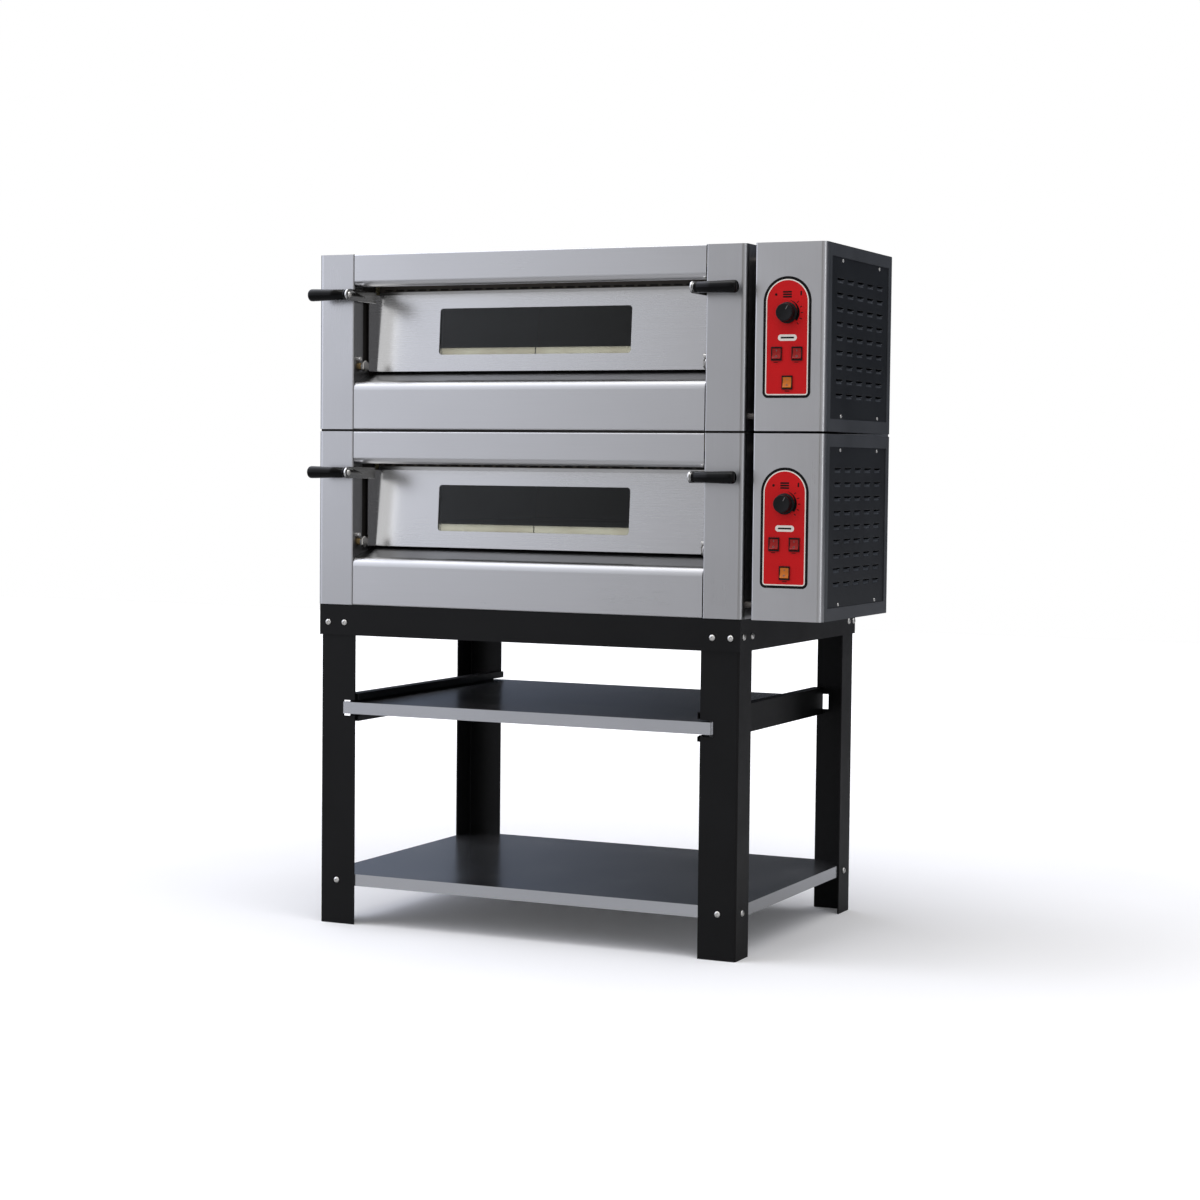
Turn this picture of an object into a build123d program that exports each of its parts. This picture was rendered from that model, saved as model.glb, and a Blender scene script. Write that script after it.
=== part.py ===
"""Double-deck electric pizza oven on an open stand with a fixed and a sliding shelf.

Millimetres, +Z up, front towards -Y. The origin is at the centre of the footprint, on the floor.
Most sizes are laid out from the oven's own centreline (x), front plane (y) and deck base (z).
"""

from math import cos, radians, sin

from build123d import *
import os

os.makedirs("parts", exist_ok=True)

# Layout of the whole machine
OVEN_X = -80.0              # centreline of the two decks
FRONT_Y = -422.5            # front plane of the two decks
DECKS = {"lower": 660.0, "upper": 1018.5}
DECK_HEIGHT = 354.0
OVEN_HALF = 470.0
OVEN_DEPTH = 850.0
SHEET = 1.2                 # stainless panels
GAP = 0.3                   # between neighbouring sheets

# Front of a deck, heights above the deck base
PILLAR_IN = 388.0
PILLAR_WALL = 37.0          # depth of the inner wall above the hinge
PILLAR_DEPTH = 62.0         # depth of the inner wall beside the hinge
WING_CLEAR_Z = 139.0        # the inner wall is cut back above this height
FASCIA_HALF = PILLAR_IN - 1.0   # leaves an open seam beside each pillar
LIP_Z = 289.0
LIP_DEPTH = 25.0
SILL_FRONT_Z = 95.3
SILL_BACK = (88.0, 117.5)
SILL_BEND = 20.0

# Chamber
CHAMBER_HALF = 364.0
CHAMBER_BACK = 790.0
FLOOR_Z = 130.0
STONE_Z = (150.0, 167.0)
STONE_SEAM_X = -20.0
CEILING_Z = 310.0
MOUTH_HALF = 340.0
MOUTH_V = (42.5, 138.7)     # opening, on the door's plane
SURROUND_V = (-17.1, 195.8)
JAMB_X = 389.5
JAMB_Y = (38.5, 90.0)
JAMB_Z = (96.0, 345.0)
LEDGE_HALF = 5.0            # bars that carry the stones
STEAM_Z = 280.0
STEAM_R = 25.0
STEAM_END_Y = 897.5

# Door: laid out on a plane through its pivot that leans back with the door
PIVOT_Y = 28.0
PIVOT_Z = 129.0
PIVOT_R = 5.0
DOOR_LEAN = radians(3.9)
DOOR_HALF = 381.0
DOOR_FACE = -47.0
DOOR_V = (-6.3, 150.7)
INNER_V = (0.0, 143.0)
INNER_BACK = -62.0
MOUTH_FACE = -64.5
WINDOW_X = -18.5
WINDOW_HALF = 214.5
WINDOW_V = (27.3, 121.5)
GLASS_LAP = 9.5
WING_THICK = 2.0
WING_FRONT = 20.0
WING_TOP = 147.0
LEVER_Z = (129.5, 152.5)
LEVER_BACK = 40.0
LEVER_THICK = 4.0
LEVER_X = 375.0             # inner face of a lever, against the inside of its wing
COLLAR = (9.5, 2.0)         # radius and length, between a lever and its grip
LEVER_SCREW = (6.0, 3.0)    # radius and height of the head
GRIP_Y = -68.0
GRIP_Z = 141.0
GRIP_IN = LEVER_X + LEVER_THICK + COLLAR[1]
GRIP_OUT = 468.0
GRIP_R = (10.5, 12.5)       # at the inner and the outer end
HINGE_FLATS = 17.0          # across the flats of a hinge bolt
HINGE_HEAD = 4.0
HINGE_NUT = (11.0, 5.5)     # start and thickness, from the wing outwards
STOP_PIN = (14.0, 143.5)    # y and height above the deck base
STOP_PIN_R = 4.0

# Control box
BOX_X = (488.0, 630.0)
BOX_DEPTH = 380.0
COVER_SHEET = 1.5
COVER_Y = 14.5
WINDOW_Y = (32.0, 362.0)
WINDOW_Z = (24.0, 330.0)
LOUVRE_ROWS = 9
LOUVRE_COLUMNS = 5
LOUVRE_PITCH = (57.5, 27.2)
LOUVRE_CENTRE = (198.5, 176.7)
LABEL_X = 553.2
LABEL_HALF = 48.0
LABEL_Z = (62.0, 290.0)
LABEL_THICK = 0.4
KNOB_X = 554.0
KNOB_Z = 221.5
SPINDLE_R = 3.0
SWITCHES = {
    "red_rocker_left": (533.0, 145.0),
    "red_rocker_right": (574.0, 145.0),
    "orange_rocker": (555.0, 91.0),
}
SWITCH_BODY = (19.0, 24.0)
ROCKER_R = 10.6
ROCKER_TILT = 6.0
PANEL_SCREWS = [(95.0, 29.5), (308.0, 29.5), (95.0, 324.0), (308.0, 324.0)]
GLAND = (559.0, 60.0)
SPACER_PLACES = [(20.0, 28.0), (300.0, 28.0), (60.0, 325.0), (300.0, 325.0)]

# Stand
STAND_TOP = 660.0
LEG_HALF = 463.0
LEG_Y = (5.0, 658.0)
LEG_FLANGE = (79.0, 66.0)
LEG_SHEET = 3.0
RAIL_HEIGHT = 63.0
RAIL_FLANGE = 40.0
LOWER_SHELF_Z = (80.0, 104.0)
TRAY_Z = (436.0, 460.0)
TRAY_HALF = 396.0
TRAY_FRONT_HALF = 408.0
TRAY_FRONT_DEPTH = 12.0
TRAY_BACK = 652.0
NOTCH_Z = (431.0, 463.5)
NOTCH_HALF = 411.0
RUNNER_Z = (421.0, 478.0)
RUNNER_WEB = 400.0
RUNNER_LIP = 377.0
FRONT_BOLT_X = (446.0, 408.0)
FRONT_BOLT_Z = 623.0
SIDE_BOLT_Y = (21.0, 64.7, 620.5, 645.0)
SIDE_BOLT_Z = 625.0
SHELF_BOLT_X = 425.0
SHELF_BOLT_Y = (38.0, 621.0)
SHELF_BOLT_Z = 90.0
BOLT_R = 4.0

MIRROR = Plane(origin=(OVEN_X, 0, 0), z_dir=(1, 0, 0))


# Helpers: each works inside the BuildPart block that is open

def plan_plane(z):
    """Horizontal plane, x from the oven centreline and y from its front plane."""
    return Plane(origin=(OVEN_X, FRONT_Y, z))


def side_plane(x, z=0.0):
    """Upright plane across the oven: local x runs to the back and local y runs up."""
    return Plane(origin=(OVEN_X + x, FRONT_Y, z), x_dir=(0, 1, 0), z_dir=(1, 0, 0))


def face_plane(y, z=0.0):
    """Upright plane that faces the front: local x runs right and local y runs up."""
    return Plane(origin=(OVEN_X, FRONT_Y + y, z), x_dir=(1, 0, 0), z_dir=(0, -1, 0))


def door_plane(base):
    """Plane through the door's pivot, leaning back: local z points out of the door's face."""
    lean = (0, -cos(DOOR_LEAN), sin(DOOR_LEAN))
    return Plane(origin=(OVEN_X, FRONT_Y + PIVOT_Y, base + PIVOT_Z), x_dir=(1, 0, 0), z_dir=lean)


def slab(plane, across, up, thick, mode=Mode.ADD):
    """Block on a plane, between the given limits along its local x, y and z."""
    with BuildSketch(plane.offset(thick[0])) as outline:
        with Locations(((across[0] + across[1]) / 2, (up[0] + up[1]) / 2)):
            Rectangle(across[1] - across[0], up[1] - up[0])
    extrude(outline.sketch, amount=thick[1] - thick[0], mode=mode)


def block(across, back, up, mode=Mode.ADD):
    """Upright block between limits in x, y and z."""
    slab(plan_plane(0), across, back, up, mode)


def disc(plane, centre, radius, length, mode=Mode.ADD):
    """Cylinder from a plane."""
    with BuildSketch(plane) as outline:
        with Locations(centre):
            Circle(radius)
    extrude(outline.sketch, amount=length, mode=mode)


def ring(plane, centre, outer, inner, length):
    """Tube from a plane."""
    with BuildSketch(plane) as outline:
        with Locations(centre):
            Circle(outer)
            Circle(inner, mode=Mode.SUBTRACT)
    extrude(outline.sketch, amount=length)


def bent_sheet(plane, points, bends, side, thickness, length):
    """Folded sheet: a bent line thickened to one side and run along the plane's normal."""
    with BuildSketch(plane) as outline:
        with BuildLine():
            FilletPolyline(*points, radius=bends)
            offset(amount=thickness, side=side)
        make_face()
    extrude(outline.sketch, amount=length)


def save(piece, name):
    """Label a finished piece and write it."""
    piece.part.label = name
    export_step(piece.part, f"parts/{name}.step")


# Deck casing

def make_side_panels(deck, base):
    with BuildPart() as side_panels:
        block((OVEN_HALF - SHEET, OVEN_HALF), (13.3, OVEN_DEPTH), (base, base + DECK_HEIGHT))
        mirror(about=MIRROR)
    save(side_panels, f"{deck}_side_panels")


def make_top_panels():
    with BuildPart() as top_panels:
        half = OVEN_HALF - SHEET - GAP
        for base in DECKS.values():
            block((-half, half), (37.5, OVEN_DEPTH), (base + DECK_HEIGHT - SHEET, base + DECK_HEIGHT))
    save(top_panels, "top_panels")


def make_base_panels():
    """Floors of the decks, with two skids that carry the upper deck on the lower one."""
    seam = DECKS["upper"] - DECKS["lower"] - DECK_HEIGHT
    with BuildPart() as base_panels:
        half = OVEN_HALF - SHEET - GAP
        for base in DECKS.values():
            block((-half, half), (62.5, OVEN_DEPTH - SHEET - GAP), (base, base + 2.0))
        for across in ((400.0, 440.0), (-440.0, -400.0)):
            block(across, (65.0, 820.0), (DECKS["upper"] - seam, DECKS["upper"]))
    save(base_panels, "base_panels")


def make_back_panels():
    with BuildPart() as back_panels:
        half = OVEN_HALF - SHEET - GAP
        for base in DECKS.values():
            up = (base + 2.0 + GAP, base + DECK_HEIGHT - SHEET - GAP)
            block((-half, half), (OVEN_DEPTH - SHEET, OVEN_DEPTH), up)
            disc(face_plane(OVEN_DEPTH), (0, base + STEAM_Z), STEAM_R + GAP, SHEET, Mode.SUBTRACT)
    save(back_panels, "back_panels")


def make_pillars(deck, base):
    """Front columns: rounded outer edge, inner wall cut away beside the door's wings."""
    with BuildPart() as pillars:
        outline = [(PILLAR_IN, PILLAR_DEPTH), (PILLAR_IN, 0.0), (OVEN_HALF, 0.0), (OVEN_HALF, 13.0)]
        bent_sheet(plan_plane(base), outline, (2.5, 10.0), Side.LEFT, SHEET, DECK_HEIGHT)
        inside = (PILLAR_IN + SHEET, OVEN_HALF - SHEET)
        with BuildSketch(plan_plane(base + DECK_HEIGHT)):
            with Locations((sum(inside) / 2, (SHEET + PILLAR_WALL) / 2)):
                Rectangle(inside[1] - inside[0], PILLAR_WALL - SHEET)
            corner = vertices().group_by(Axis.Y)[0].sort_by(Axis.X)[-1]
            fillet(corner, radius=10.0 - SHEET)
        extrude(amount=-SHEET)
        above_wing = (base + WING_CLEAR_Z, base + DECK_HEIGHT + 2.0)
        block((PILLAR_IN - 1, PILLAR_IN + 3), (PILLAR_WALL, PILLAR_DEPTH + 2), above_wing, Mode.SUBTRACT)
        wall = side_plane(PILLAR_IN, base)
        disc(wall, (PIVOT_Y, PIVOT_Z), PIVOT_R + 0.2, SHEET, Mode.SUBTRACT)
        disc(wall, STOP_PIN, 3.1, SHEET, Mode.SUBTRACT)
        mirror(about=MIRROR)
    save(pillars, f"{deck}_pillars")


def make_top_fascia(deck, base):
    with BuildPart() as top_fascia:
        plane = side_plane(-FASCIA_HALF, base)
        profile = [(37.2, DECK_HEIGHT), (0, DECK_HEIGHT), (0, LIP_Z)]
        profile += [(LIP_DEPTH, LIP_Z), (LIP_DEPTH, LIP_Z + 15)]
        bent_sheet(plane, profile, (3.0, 12.0, 2.0), Side.LEFT, SHEET, 2 * FASCIA_HALF)
    save(top_fascia, f"{deck}_top_fascia")


def make_bottom_fascia(deck, base):
    """Lower front panel, rolled over into the sill that slopes up to the mouth."""
    with BuildPart() as bottom_fascia:
        plane = side_plane(-FASCIA_HALF, base)
        profile = [(20.0, 0.0), (0.0, 0.0), (0.0, SILL_FRONT_Z), SILL_BACK]
        bent_sheet(plane, profile, (2.5, SILL_BEND), Side.RIGHT, SHEET, 2 * FASCIA_HALF)
    save(bottom_fascia, f"{deck}_bottom_fascia")


def make_mouth_surround(deck, base):
    """Black plates round the chamber's mouth, parallel to the door, and the jamb plates beside it."""
    thick = (MOUTH_FACE - 2.0, MOUTH_FACE)
    with BuildPart() as mouth_surround:
        slab(door_plane(base), (-PILLAR_IN, PILLAR_IN), (MOUTH_V[1] + GAP, SURROUND_V[1]), thick)
        slab(door_plane(base), (-PILLAR_IN, PILLAR_IN), (SURROUND_V[0], MOUTH_V[0] - GAP), thick)
        slab(door_plane(base), (MOUTH_HALF, PILLAR_IN), MOUTH_V, thick)
        slab(door_plane(base), (-PILLAR_IN, -MOUTH_HALF), MOUTH_V, thick)
        for jamb in (JAMB_X, -JAMB_X - SHEET):
            block((jamb, jamb + SHEET), JAMB_Y, (base + JAMB_Z[0], base + JAMB_Z[1]))
    save(mouth_surround, f"{deck}_mouth_surround")


# Chamber

def make_chamber_panels(deck, base):
    """Floor, walls, ceiling and back of the chamber, and the ledges that carry the stones."""
    floor = (base + FLOOR_Z, base + FLOOR_Z + SHEET)
    with BuildPart() as chamber_panels:
        block((-CHAMBER_HALF, CHAMBER_HALF), (90.0, CHAMBER_BACK), floor)
        ceiling = (base + CEILING_Z, base + CEILING_Z + SHEET)
        block((-CHAMBER_HALF, CHAMBER_HALF), (90.0, CHAMBER_BACK), ceiling)
        for wall in (CHAMBER_HALF + GAP, -CHAMBER_HALF - GAP - SHEET):
            block((wall, wall + SHEET), (90.0, CHAMBER_BACK), (base + FLOOR_Z, base + CEILING_Z + SHEET))
        back = CHAMBER_BACK + GAP
        block((-CHAMBER_HALF, CHAMBER_HALF), (back, back + SHEET), (base + FLOOR_Z, base + CEILING_Z + SHEET))
        disc(face_plane(back + SHEET), (0, base + STEAM_Z), STEAM_R + GAP, 2 * SHEET, Mode.SUBTRACT)
        for ledge in (-357.0, STONE_SEAM_X, 357.0):
            across = (ledge - LEDGE_HALF, ledge + LEDGE_HALF)
            block(across, (118.0, 780.0), (floor[1] + GAP, base + STONE_Z[0] - 0.1))
        slab(door_plane(base), (-400, 400), (-60, 260), (MOUTH_FACE - 2.4, MOUTH_FACE + 60), Mode.SUBTRACT)
    save(chamber_panels, f"{deck}_chamber_panels")


def make_baking_stones():
    with BuildPart() as baking_stones:
        for base in DECKS.values():
            for across in ((-362.5, STONE_SEAM_X - 0.4), (STONE_SEAM_X + 0.4, 362.5)):
                block(across, (104.0, 785.0), (base + STONE_Z[0], base + STONE_Z[1]))
    save(baking_stones, "baking_stones")


def serpentine(height, across, back, passes, radius):
    """Round heater bent to and fro over a rectangle."""
    pitch = (across[1] - across[0]) / (passes - 1)
    points = []
    for index in range(passes):
        x = across[0] + index * pitch
        ends = back if index % 2 == 0 else back[::-1]
        points += [(x, ends[0]), (x, ends[1])]
    with BuildLine(plan_plane(height)) as route:
        FilletPolyline(*points, radius=pitch * 0.45)
    with BuildSketch(Plane(route.line @ 0, z_dir=route.line % 0)) as section:
        Circle(radius)
    sweep(section.sketch, path=route.line)


def make_heating_elements():
    """Two heaters under the stones and one below the ceiling in each deck."""
    with BuildPart() as heating_elements:
        for base in DECKS.values():
            serpentine(base + 140.5, (-335.0, -45.0), (135.0, 765.0), 4, 3.5)
            serpentine(base + 140.5, (5.0, 335.0), (135.0, 765.0), 4, 3.5)
            serpentine(base + 301.0, (-310.0, 310.0), (150.0, 750.0), 6, 4.0)
    save(heating_elements, "heating_elements")


def make_insulation():
    """Mineral wool slabs between each chamber and its casing."""
    with BuildPart() as insulation:
        for base in DECKS.values():
            block((-462.0, 462.0), (97.0, 846.0), (base + 2.5, base + FLOOR_Z - GAP))
            block((-462.0, 462.0), (112.0, 846.0), (base + CEILING_Z + 2.0, base + DECK_HEIGHT - 2.0))
            for across in ((366.5, 467.0), (-467.0, -366.5)):
                block(across, (112.0, 846.0), (base + FLOOR_Z + 0.5, base + CEILING_Z + 1.0))
            block((-365.5, 365.5), (793.0, 846.0), (base + FLOOR_Z + 0.5, base + CEILING_Z + 1.0))
            disc(face_plane(847.0), (0, base + STEAM_Z), STEAM_R + 1.0, 60.0, Mode.SUBTRACT)
    save(insulation, "insulation")


def make_steam_outlets():
    """Vapour spigots at the back, each with a collar against the back panel."""
    with BuildPart() as steam_outlets:
        for base in DECKS.values():
            centre = (0, base + STEAM_Z)
            ring(face_plane(STEAM_END_Y), centre, STEAM_R, STEAM_R - SHEET, STEAM_END_Y - 786.0)
            ring(face_plane(OVEN_DEPTH + 2.0), centre, 40.0, STEAM_R - 0.1, 2.0)
    save(steam_outlets, "steam_outlets")


def make_oven_lamps():
    """Domed lamp glasses on the right wall of each chamber."""
    with BuildPart() as oven_lamps:
        for base in DECKS.values():
            disc(side_plane(CHAMBER_HALF - 9.0), (300.0, base + 240.0), 26.0, 9.0)
        rims = oven_lamps.edges().filter_by(GeomType.CIRCLE).group_by(Axis.X)[0]
        fillet(rims, radius=6.0)
    save(oven_lamps, "oven_lamps")


# Doors

def lever_profile_plane(x, base):
    """Upright plane across the oven with its origin on the door's pivot."""
    return Plane(origin=(OVEN_X + x, FRONT_Y + PIVOT_Y, base + PIVOT_Z), x_dir=(0, 1, 0), z_dir=(1, 0, 0))


def door_point(up, out):
    """Point of the leaning door, back and up from its pivot."""
    return (up * sin(DOOR_LEAN) - out * cos(DOOR_LEAN), up * cos(DOOR_LEAN) + out * sin(DOOR_LEAN))


def make_door_skin(deck, base):
    """Front sheet with its window, and the wings at its ends that carry the pivots."""
    plane = door_plane(base)
    rear = DOOR_FACE - SHEET
    with BuildPart() as door_skin:
        with BuildSketch(lever_profile_plane(DOOR_HALF - WING_THICK, base)):
            with BuildLine():
                heel = door_point(DOOR_V[0], rear)
                head = door_point(DOOR_V[1], rear)
                Polyline(heel, head, (WING_FRONT, WING_TOP), (WING_FRONT, heel[1]), heel)
            make_face()
            with Locations((WING_FRONT / 2 + 1, 0)):
                Rectangle(WING_FRONT + 2, 15.0)
            Circle(11.0)
            Circle(PIVOT_R + 0.06, mode=Mode.SUBTRACT)
        extrude(amount=WING_THICK)
        mirror(about=MIRROR)
        slab(plane, (-DOOR_HALF, DOOR_HALF), DOOR_V, (rear, DOOR_FACE))
        with BuildSketch(plane.offset(rear)) as window:
            with Locations((WINDOW_X, sum(WINDOW_V) / 2)):
                RectangleRounded(2 * WINDOW_HALF, WINDOW_V[1] - WINDOW_V[0], 7.0)
        extrude(window.sketch, amount=SHEET, mode=Mode.SUBTRACT)
    save(door_skin, f"{deck}_door_skin")


def make_door_inner(deck, base):
    """Inner frame of the door, rebated for the glass."""
    plane = door_plane(base)
    front = DOOR_FACE - SHEET - 0.1
    glass_half = WINDOW_HALF + GLASS_LAP + 0.5
    glass_up = (WINDOW_V[0] - GLASS_LAP - 0.5, WINDOW_V[1] + GLASS_LAP + 0.5)
    with BuildPart() as door_inner:
        slab(plane, (-372.0, 372.0), INNER_V, (INNER_BACK, front))
        across = (WINDOW_X - WINDOW_HALF, WINDOW_X + WINDOW_HALF)
        slab(plane, across, WINDOW_V, (INNER_BACK, front), Mode.SUBTRACT)
        rebate = (WINDOW_X - glass_half, WINDOW_X + glass_half)
        slab(plane, rebate, glass_up, (front - 4.2, front), Mode.SUBTRACT)
    save(door_inner, f"{deck}_door_inner")


def make_door_glass(deck, base):
    front = DOOR_FACE - SHEET - 0.1
    half = WINDOW_HALF + GLASS_LAP
    with BuildPart() as door_glass:
        up = (WINDOW_V[0] - GLASS_LAP, WINDOW_V[1] + GLASS_LAP)
        slab(door_plane(base), (WINDOW_X - half, WINDOW_X + half), up, (front - 4.0, front))
    save(door_glass, f"{deck}_door_glass")


def make_door_levers(deck, base):
    """Arms on the wings that carry the grips, each with its collar and screw head."""
    radius = (LEVER_Z[1] - LEVER_Z[0]) / 2
    with BuildPart() as door_levers:
        with BuildSketch(lever_profile_plane(LEVER_X, base)):
            with Locations(((GRIP_Y + LEVER_BACK) / 2, GRIP_Z)):
                Rectangle(LEVER_BACK - GRIP_Y, 2 * radius)
            with Locations((GRIP_Y, GRIP_Z)):
                Circle(radius)
        extrude(amount=LEVER_THICK)
        disc(lever_profile_plane(LEVER_X + LEVER_THICK, base), (GRIP_Y, GRIP_Z), *COLLAR)
        disc(lever_profile_plane(LEVER_X, base), (GRIP_Y, GRIP_Z), LEVER_SCREW[0], -LEVER_SCREW[1])
        mirror(about=MIRROR)
    save(door_levers, f"{deck}_door_levers")


def make_door_grips(deck, base):
    """Tapered round grips with domed ends."""
    centre = (OVEN_X, FRONT_Y + PIVOT_Y + GRIP_Y, base + PIVOT_Z + GRIP_Z)
    axis_plane = Plane(origin=centre, x_dir=(1, 0, 0), z_dir=(0, -1, 0))
    with BuildPart() as door_grips:
        with BuildSketch(axis_plane):
            with BuildLine():
                inner, outer = (GRIP_IN, GRIP_R[0]), (GRIP_OUT, GRIP_R[1])
                Polyline((GRIP_IN, 0), inner, outer, (GRIP_OUT, 0), (GRIP_IN, 0))
            make_face()
        revolve(axis=Axis(axis_plane.origin, (1, 0, 0)))
        fillet(door_grips.edges().filter_by(GeomType.CIRCLE).sort_by(Axis.X)[-1], radius=5.0)
        mirror(about=MIRROR)
    save(door_grips, f"{deck}_door_grips")


def make_hinge_bolts():
    """Hexagon bolts that the doors turn on, with their nuts behind the pillar walls."""
    with BuildPart() as hinge_bolts:
        for base in DECKS.values():
            head = lever_profile_plane(DOOR_HALF - WING_THICK - GAP, base)
            with BuildSketch(head.offset(-HINGE_HEAD)):
                RegularPolygon(HINGE_FLATS / 2, 6, major_radius=False)
            extrude(amount=HINGE_HEAD)
            disc(head, (0, 0), PIVOT_R, 17.3)
            with BuildSketch(head.offset(HINGE_NUT[0])):
                RegularPolygon(HINGE_FLATS / 2, 6, major_radius=False)
                Circle(PIVOT_R + 0.05, mode=Mode.SUBTRACT)
            extrude(amount=HINGE_NUT[1])
        mirror(about=MIRROR)
    save(hinge_bolts, "hinge_bolts")


def make_hinge_bushes():
    """Brass distance bushes between each pillar wall and the door's wing."""
    with BuildPart() as hinge_bushes:
        length = PILLAR_IN - DOOR_HALF - GAP
        for base in DECKS.values():
            ring(lever_profile_plane(DOOR_HALF + GAP, base), (0, 0), 7.0, PIVOT_R + 0.1, length)
        mirror(about=MIRROR)
    save(hinge_bushes, "hinge_bushes")


def make_stop_pins():
    """Shouldered pins that the wings come to rest on when a door is open."""
    with BuildPart() as stop_pins:
        for base in DECKS.values():
            disc(side_plane(DOOR_HALF - 1.7, base), STOP_PIN, STOP_PIN_R, PILLAR_IN - DOOR_HALF + 1.7)
            disc(side_plane(PILLAR_IN, base), STOP_PIN, 3.0, 4.0)
        mirror(about=MIRROR)
    save(stop_pins, "stop_pins")


# Control boxes

def switch_openings(plane, base, thickness):
    """Cut the openings for the knob's bush and the switches."""
    with BuildSketch(plane) as openings:
        with Locations((KNOB_X, base + KNOB_Z)):
            Circle(5.2)
        with Locations([(x, base + z) for x, z in SWITCHES.values()]):
            Rectangle(SWITCH_BODY[0] + 0.2, SWITCH_BODY[1] + 0.2)
    extrude(openings.sketch, amount=-thickness, mode=Mode.SUBTRACT)


def make_control_front(deck, base):
    """Stainless front of the control box, rolled round its right edge."""
    with BuildPart() as control_front:
        outline = [(BOX_X[0], 30.0), (BOX_X[0], 0.0), (BOX_X[1], 0.0), (BOX_X[1], 14.0)]
        bent_sheet(plan_plane(base), outline, (3.0, 10.0), Side.LEFT, SHEET, DECK_HEIGHT)
        switch_openings(face_plane(0), base, SHEET)
    save(control_front, f"{deck}_control_front")


def make_control_cover(deck, base):
    """Painted shell of the control box with the large opening for the louvre panel."""
    left, right = BOX_X
    top = base + DECK_HEIGHT
    wall = COVER_SHEET
    with BuildPart() as control_cover:
        block((left, right), (COVER_Y, BOX_DEPTH), (base, top))
        inside = (base + wall, top - wall)
        block((left + wall, right - wall), (COVER_Y, BOX_DEPTH - wall), inside, Mode.SUBTRACT)
        block((left, left + wall), (COVER_Y, 30.5), (base, top), Mode.SUBTRACT)
        opening = (base + WINDOW_Z[0], base + WINDOW_Z[1])
        block((right - wall, right), WINDOW_Y, opening, Mode.SUBTRACT)
        disc(face_plane(BOX_DEPTH), (GLAND[0], base + GLAND[1]), 8.2, wall, Mode.SUBTRACT)
    save(control_cover, f"{deck}_control_cover")


def make_louvre_panel(deck, base):
    """Ventilation panel behind the opening of the cover, pierced by rows of slots."""
    inner = BOX_X[1] - COVER_SHEET - 0.1
    with BuildPart() as louvre_panel:
        up = (base + WINDOW_Z[0] - 6, base + WINDOW_Z[1] + 6)
        block((inner - SHEET, inner), (WINDOW_Y[0] - 6, WINDOW_Y[1] + 6), up)
        with BuildSketch(side_plane(inner - SHEET, base)):
            with Locations(LOUVRE_CENTRE):
                with GridLocations(*LOUVRE_PITCH, LOUVRE_COLUMNS, LOUVRE_ROWS):
                    SlotOverall(37.0, 3.0)
        extrude(amount=SHEET, mode=Mode.SUBTRACT)
    save(louvre_panel, f"{deck}_louvre_panel")


def make_panel_screws():
    """Domed screws that hold the louvre panels."""
    with BuildPart() as panel_screws:
        for base in DECKS.values():
            for place in PANEL_SCREWS:
                disc(side_plane(BOX_X[1] - COVER_SHEET - 0.1, base), place, 3.5, 1.6)
        rims = panel_screws.edges().filter_by(GeomType.CIRCLE).group_by(Axis.X)[-1]
        fillet(rims, radius=1.2)
    save(panel_screws, "panel_screws")


def make_control_labels():
    """Thin face plates with a round top, cut out for the knob and the switches."""
    with BuildPart() as control_labels:
        for base in DECKS.values():
            middle = (LABEL_Z[0] + LABEL_Z[1] - LABEL_HALF) / 2
            with BuildSketch(face_plane(0)):
                with Locations((LABEL_X, base + middle)):
                    Rectangle(2 * LABEL_HALF, LABEL_Z[1] - LABEL_HALF - LABEL_Z[0])
                with Locations((LABEL_X, base + LABEL_Z[1] - LABEL_HALF)):
                    Circle(LABEL_HALF)
            extrude(amount=LABEL_THICK)
            switch_openings(face_plane(-LABEL_THICK), base, LABEL_THICK)
        lowest = control_labels.edges().filter_by(Axis.Y)
        fillet(lowest.filter_by(lambda edge: is_label_corner(edge)), radius=11.0)
    save(control_labels, "control_labels")


def is_label_corner(edge):
    """True for the short upright-to-bottom corner edges of a label plate."""
    height = min(abs(edge.center().Z - base - LABEL_Z[0]) for base in DECKS.values())
    return height < 0.5


def make_thermostats():
    """Thermostat bodies behind the panel, with the bushes that guide the knob spindles."""
    with BuildPart() as thermostats:
        for base in DECKS.values():
            across = (KNOB_X - 20, KNOB_X + 20)
            block(across, (3.0, 38.0), (base + KNOB_Z - 20, base + KNOB_Z + 20))
            disc(face_plane(3.0), (KNOB_X, base + KNOB_Z), 5.0, 3.9)
            disc(face_plane(16.0), (KNOB_X, base + KNOB_Z), SPINDLE_R + 0.05, 17.0, Mode.SUBTRACT)
    save(thermostats, "thermostats")


def make_knob(deck, base):
    """Thermostat knob with a skirt, a tapered body, a pointer groove and its spindle."""
    centre = (KNOB_X, base + KNOB_Z)
    with BuildPart() as knob:
        disc(face_plane(-1.3), centre, 20.0, 4.5)
        with BuildSketch(face_plane(-5.8)):
            with Locations(centre):
                Circle(17.5)
        extrude(amount=15.2, taper=4.0)
        fillet(knob.edges().filter_by(GeomType.CIRCLE).sort_by(Axis.Y)[0], radius=1.5)
        with BuildSketch(face_plane(-21.0)):
            with Locations(Location(centre, 60.0)):
                with Locations((9.0, 0)):
                    Rectangle(14.0, 1.8)
        extrude(amount=-1.0, mode=Mode.SUBTRACT)
        disc(face_plane(-1.3), centre, SPINDLE_R, -14.0)
    save(knob, f"{deck}_knob")


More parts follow.
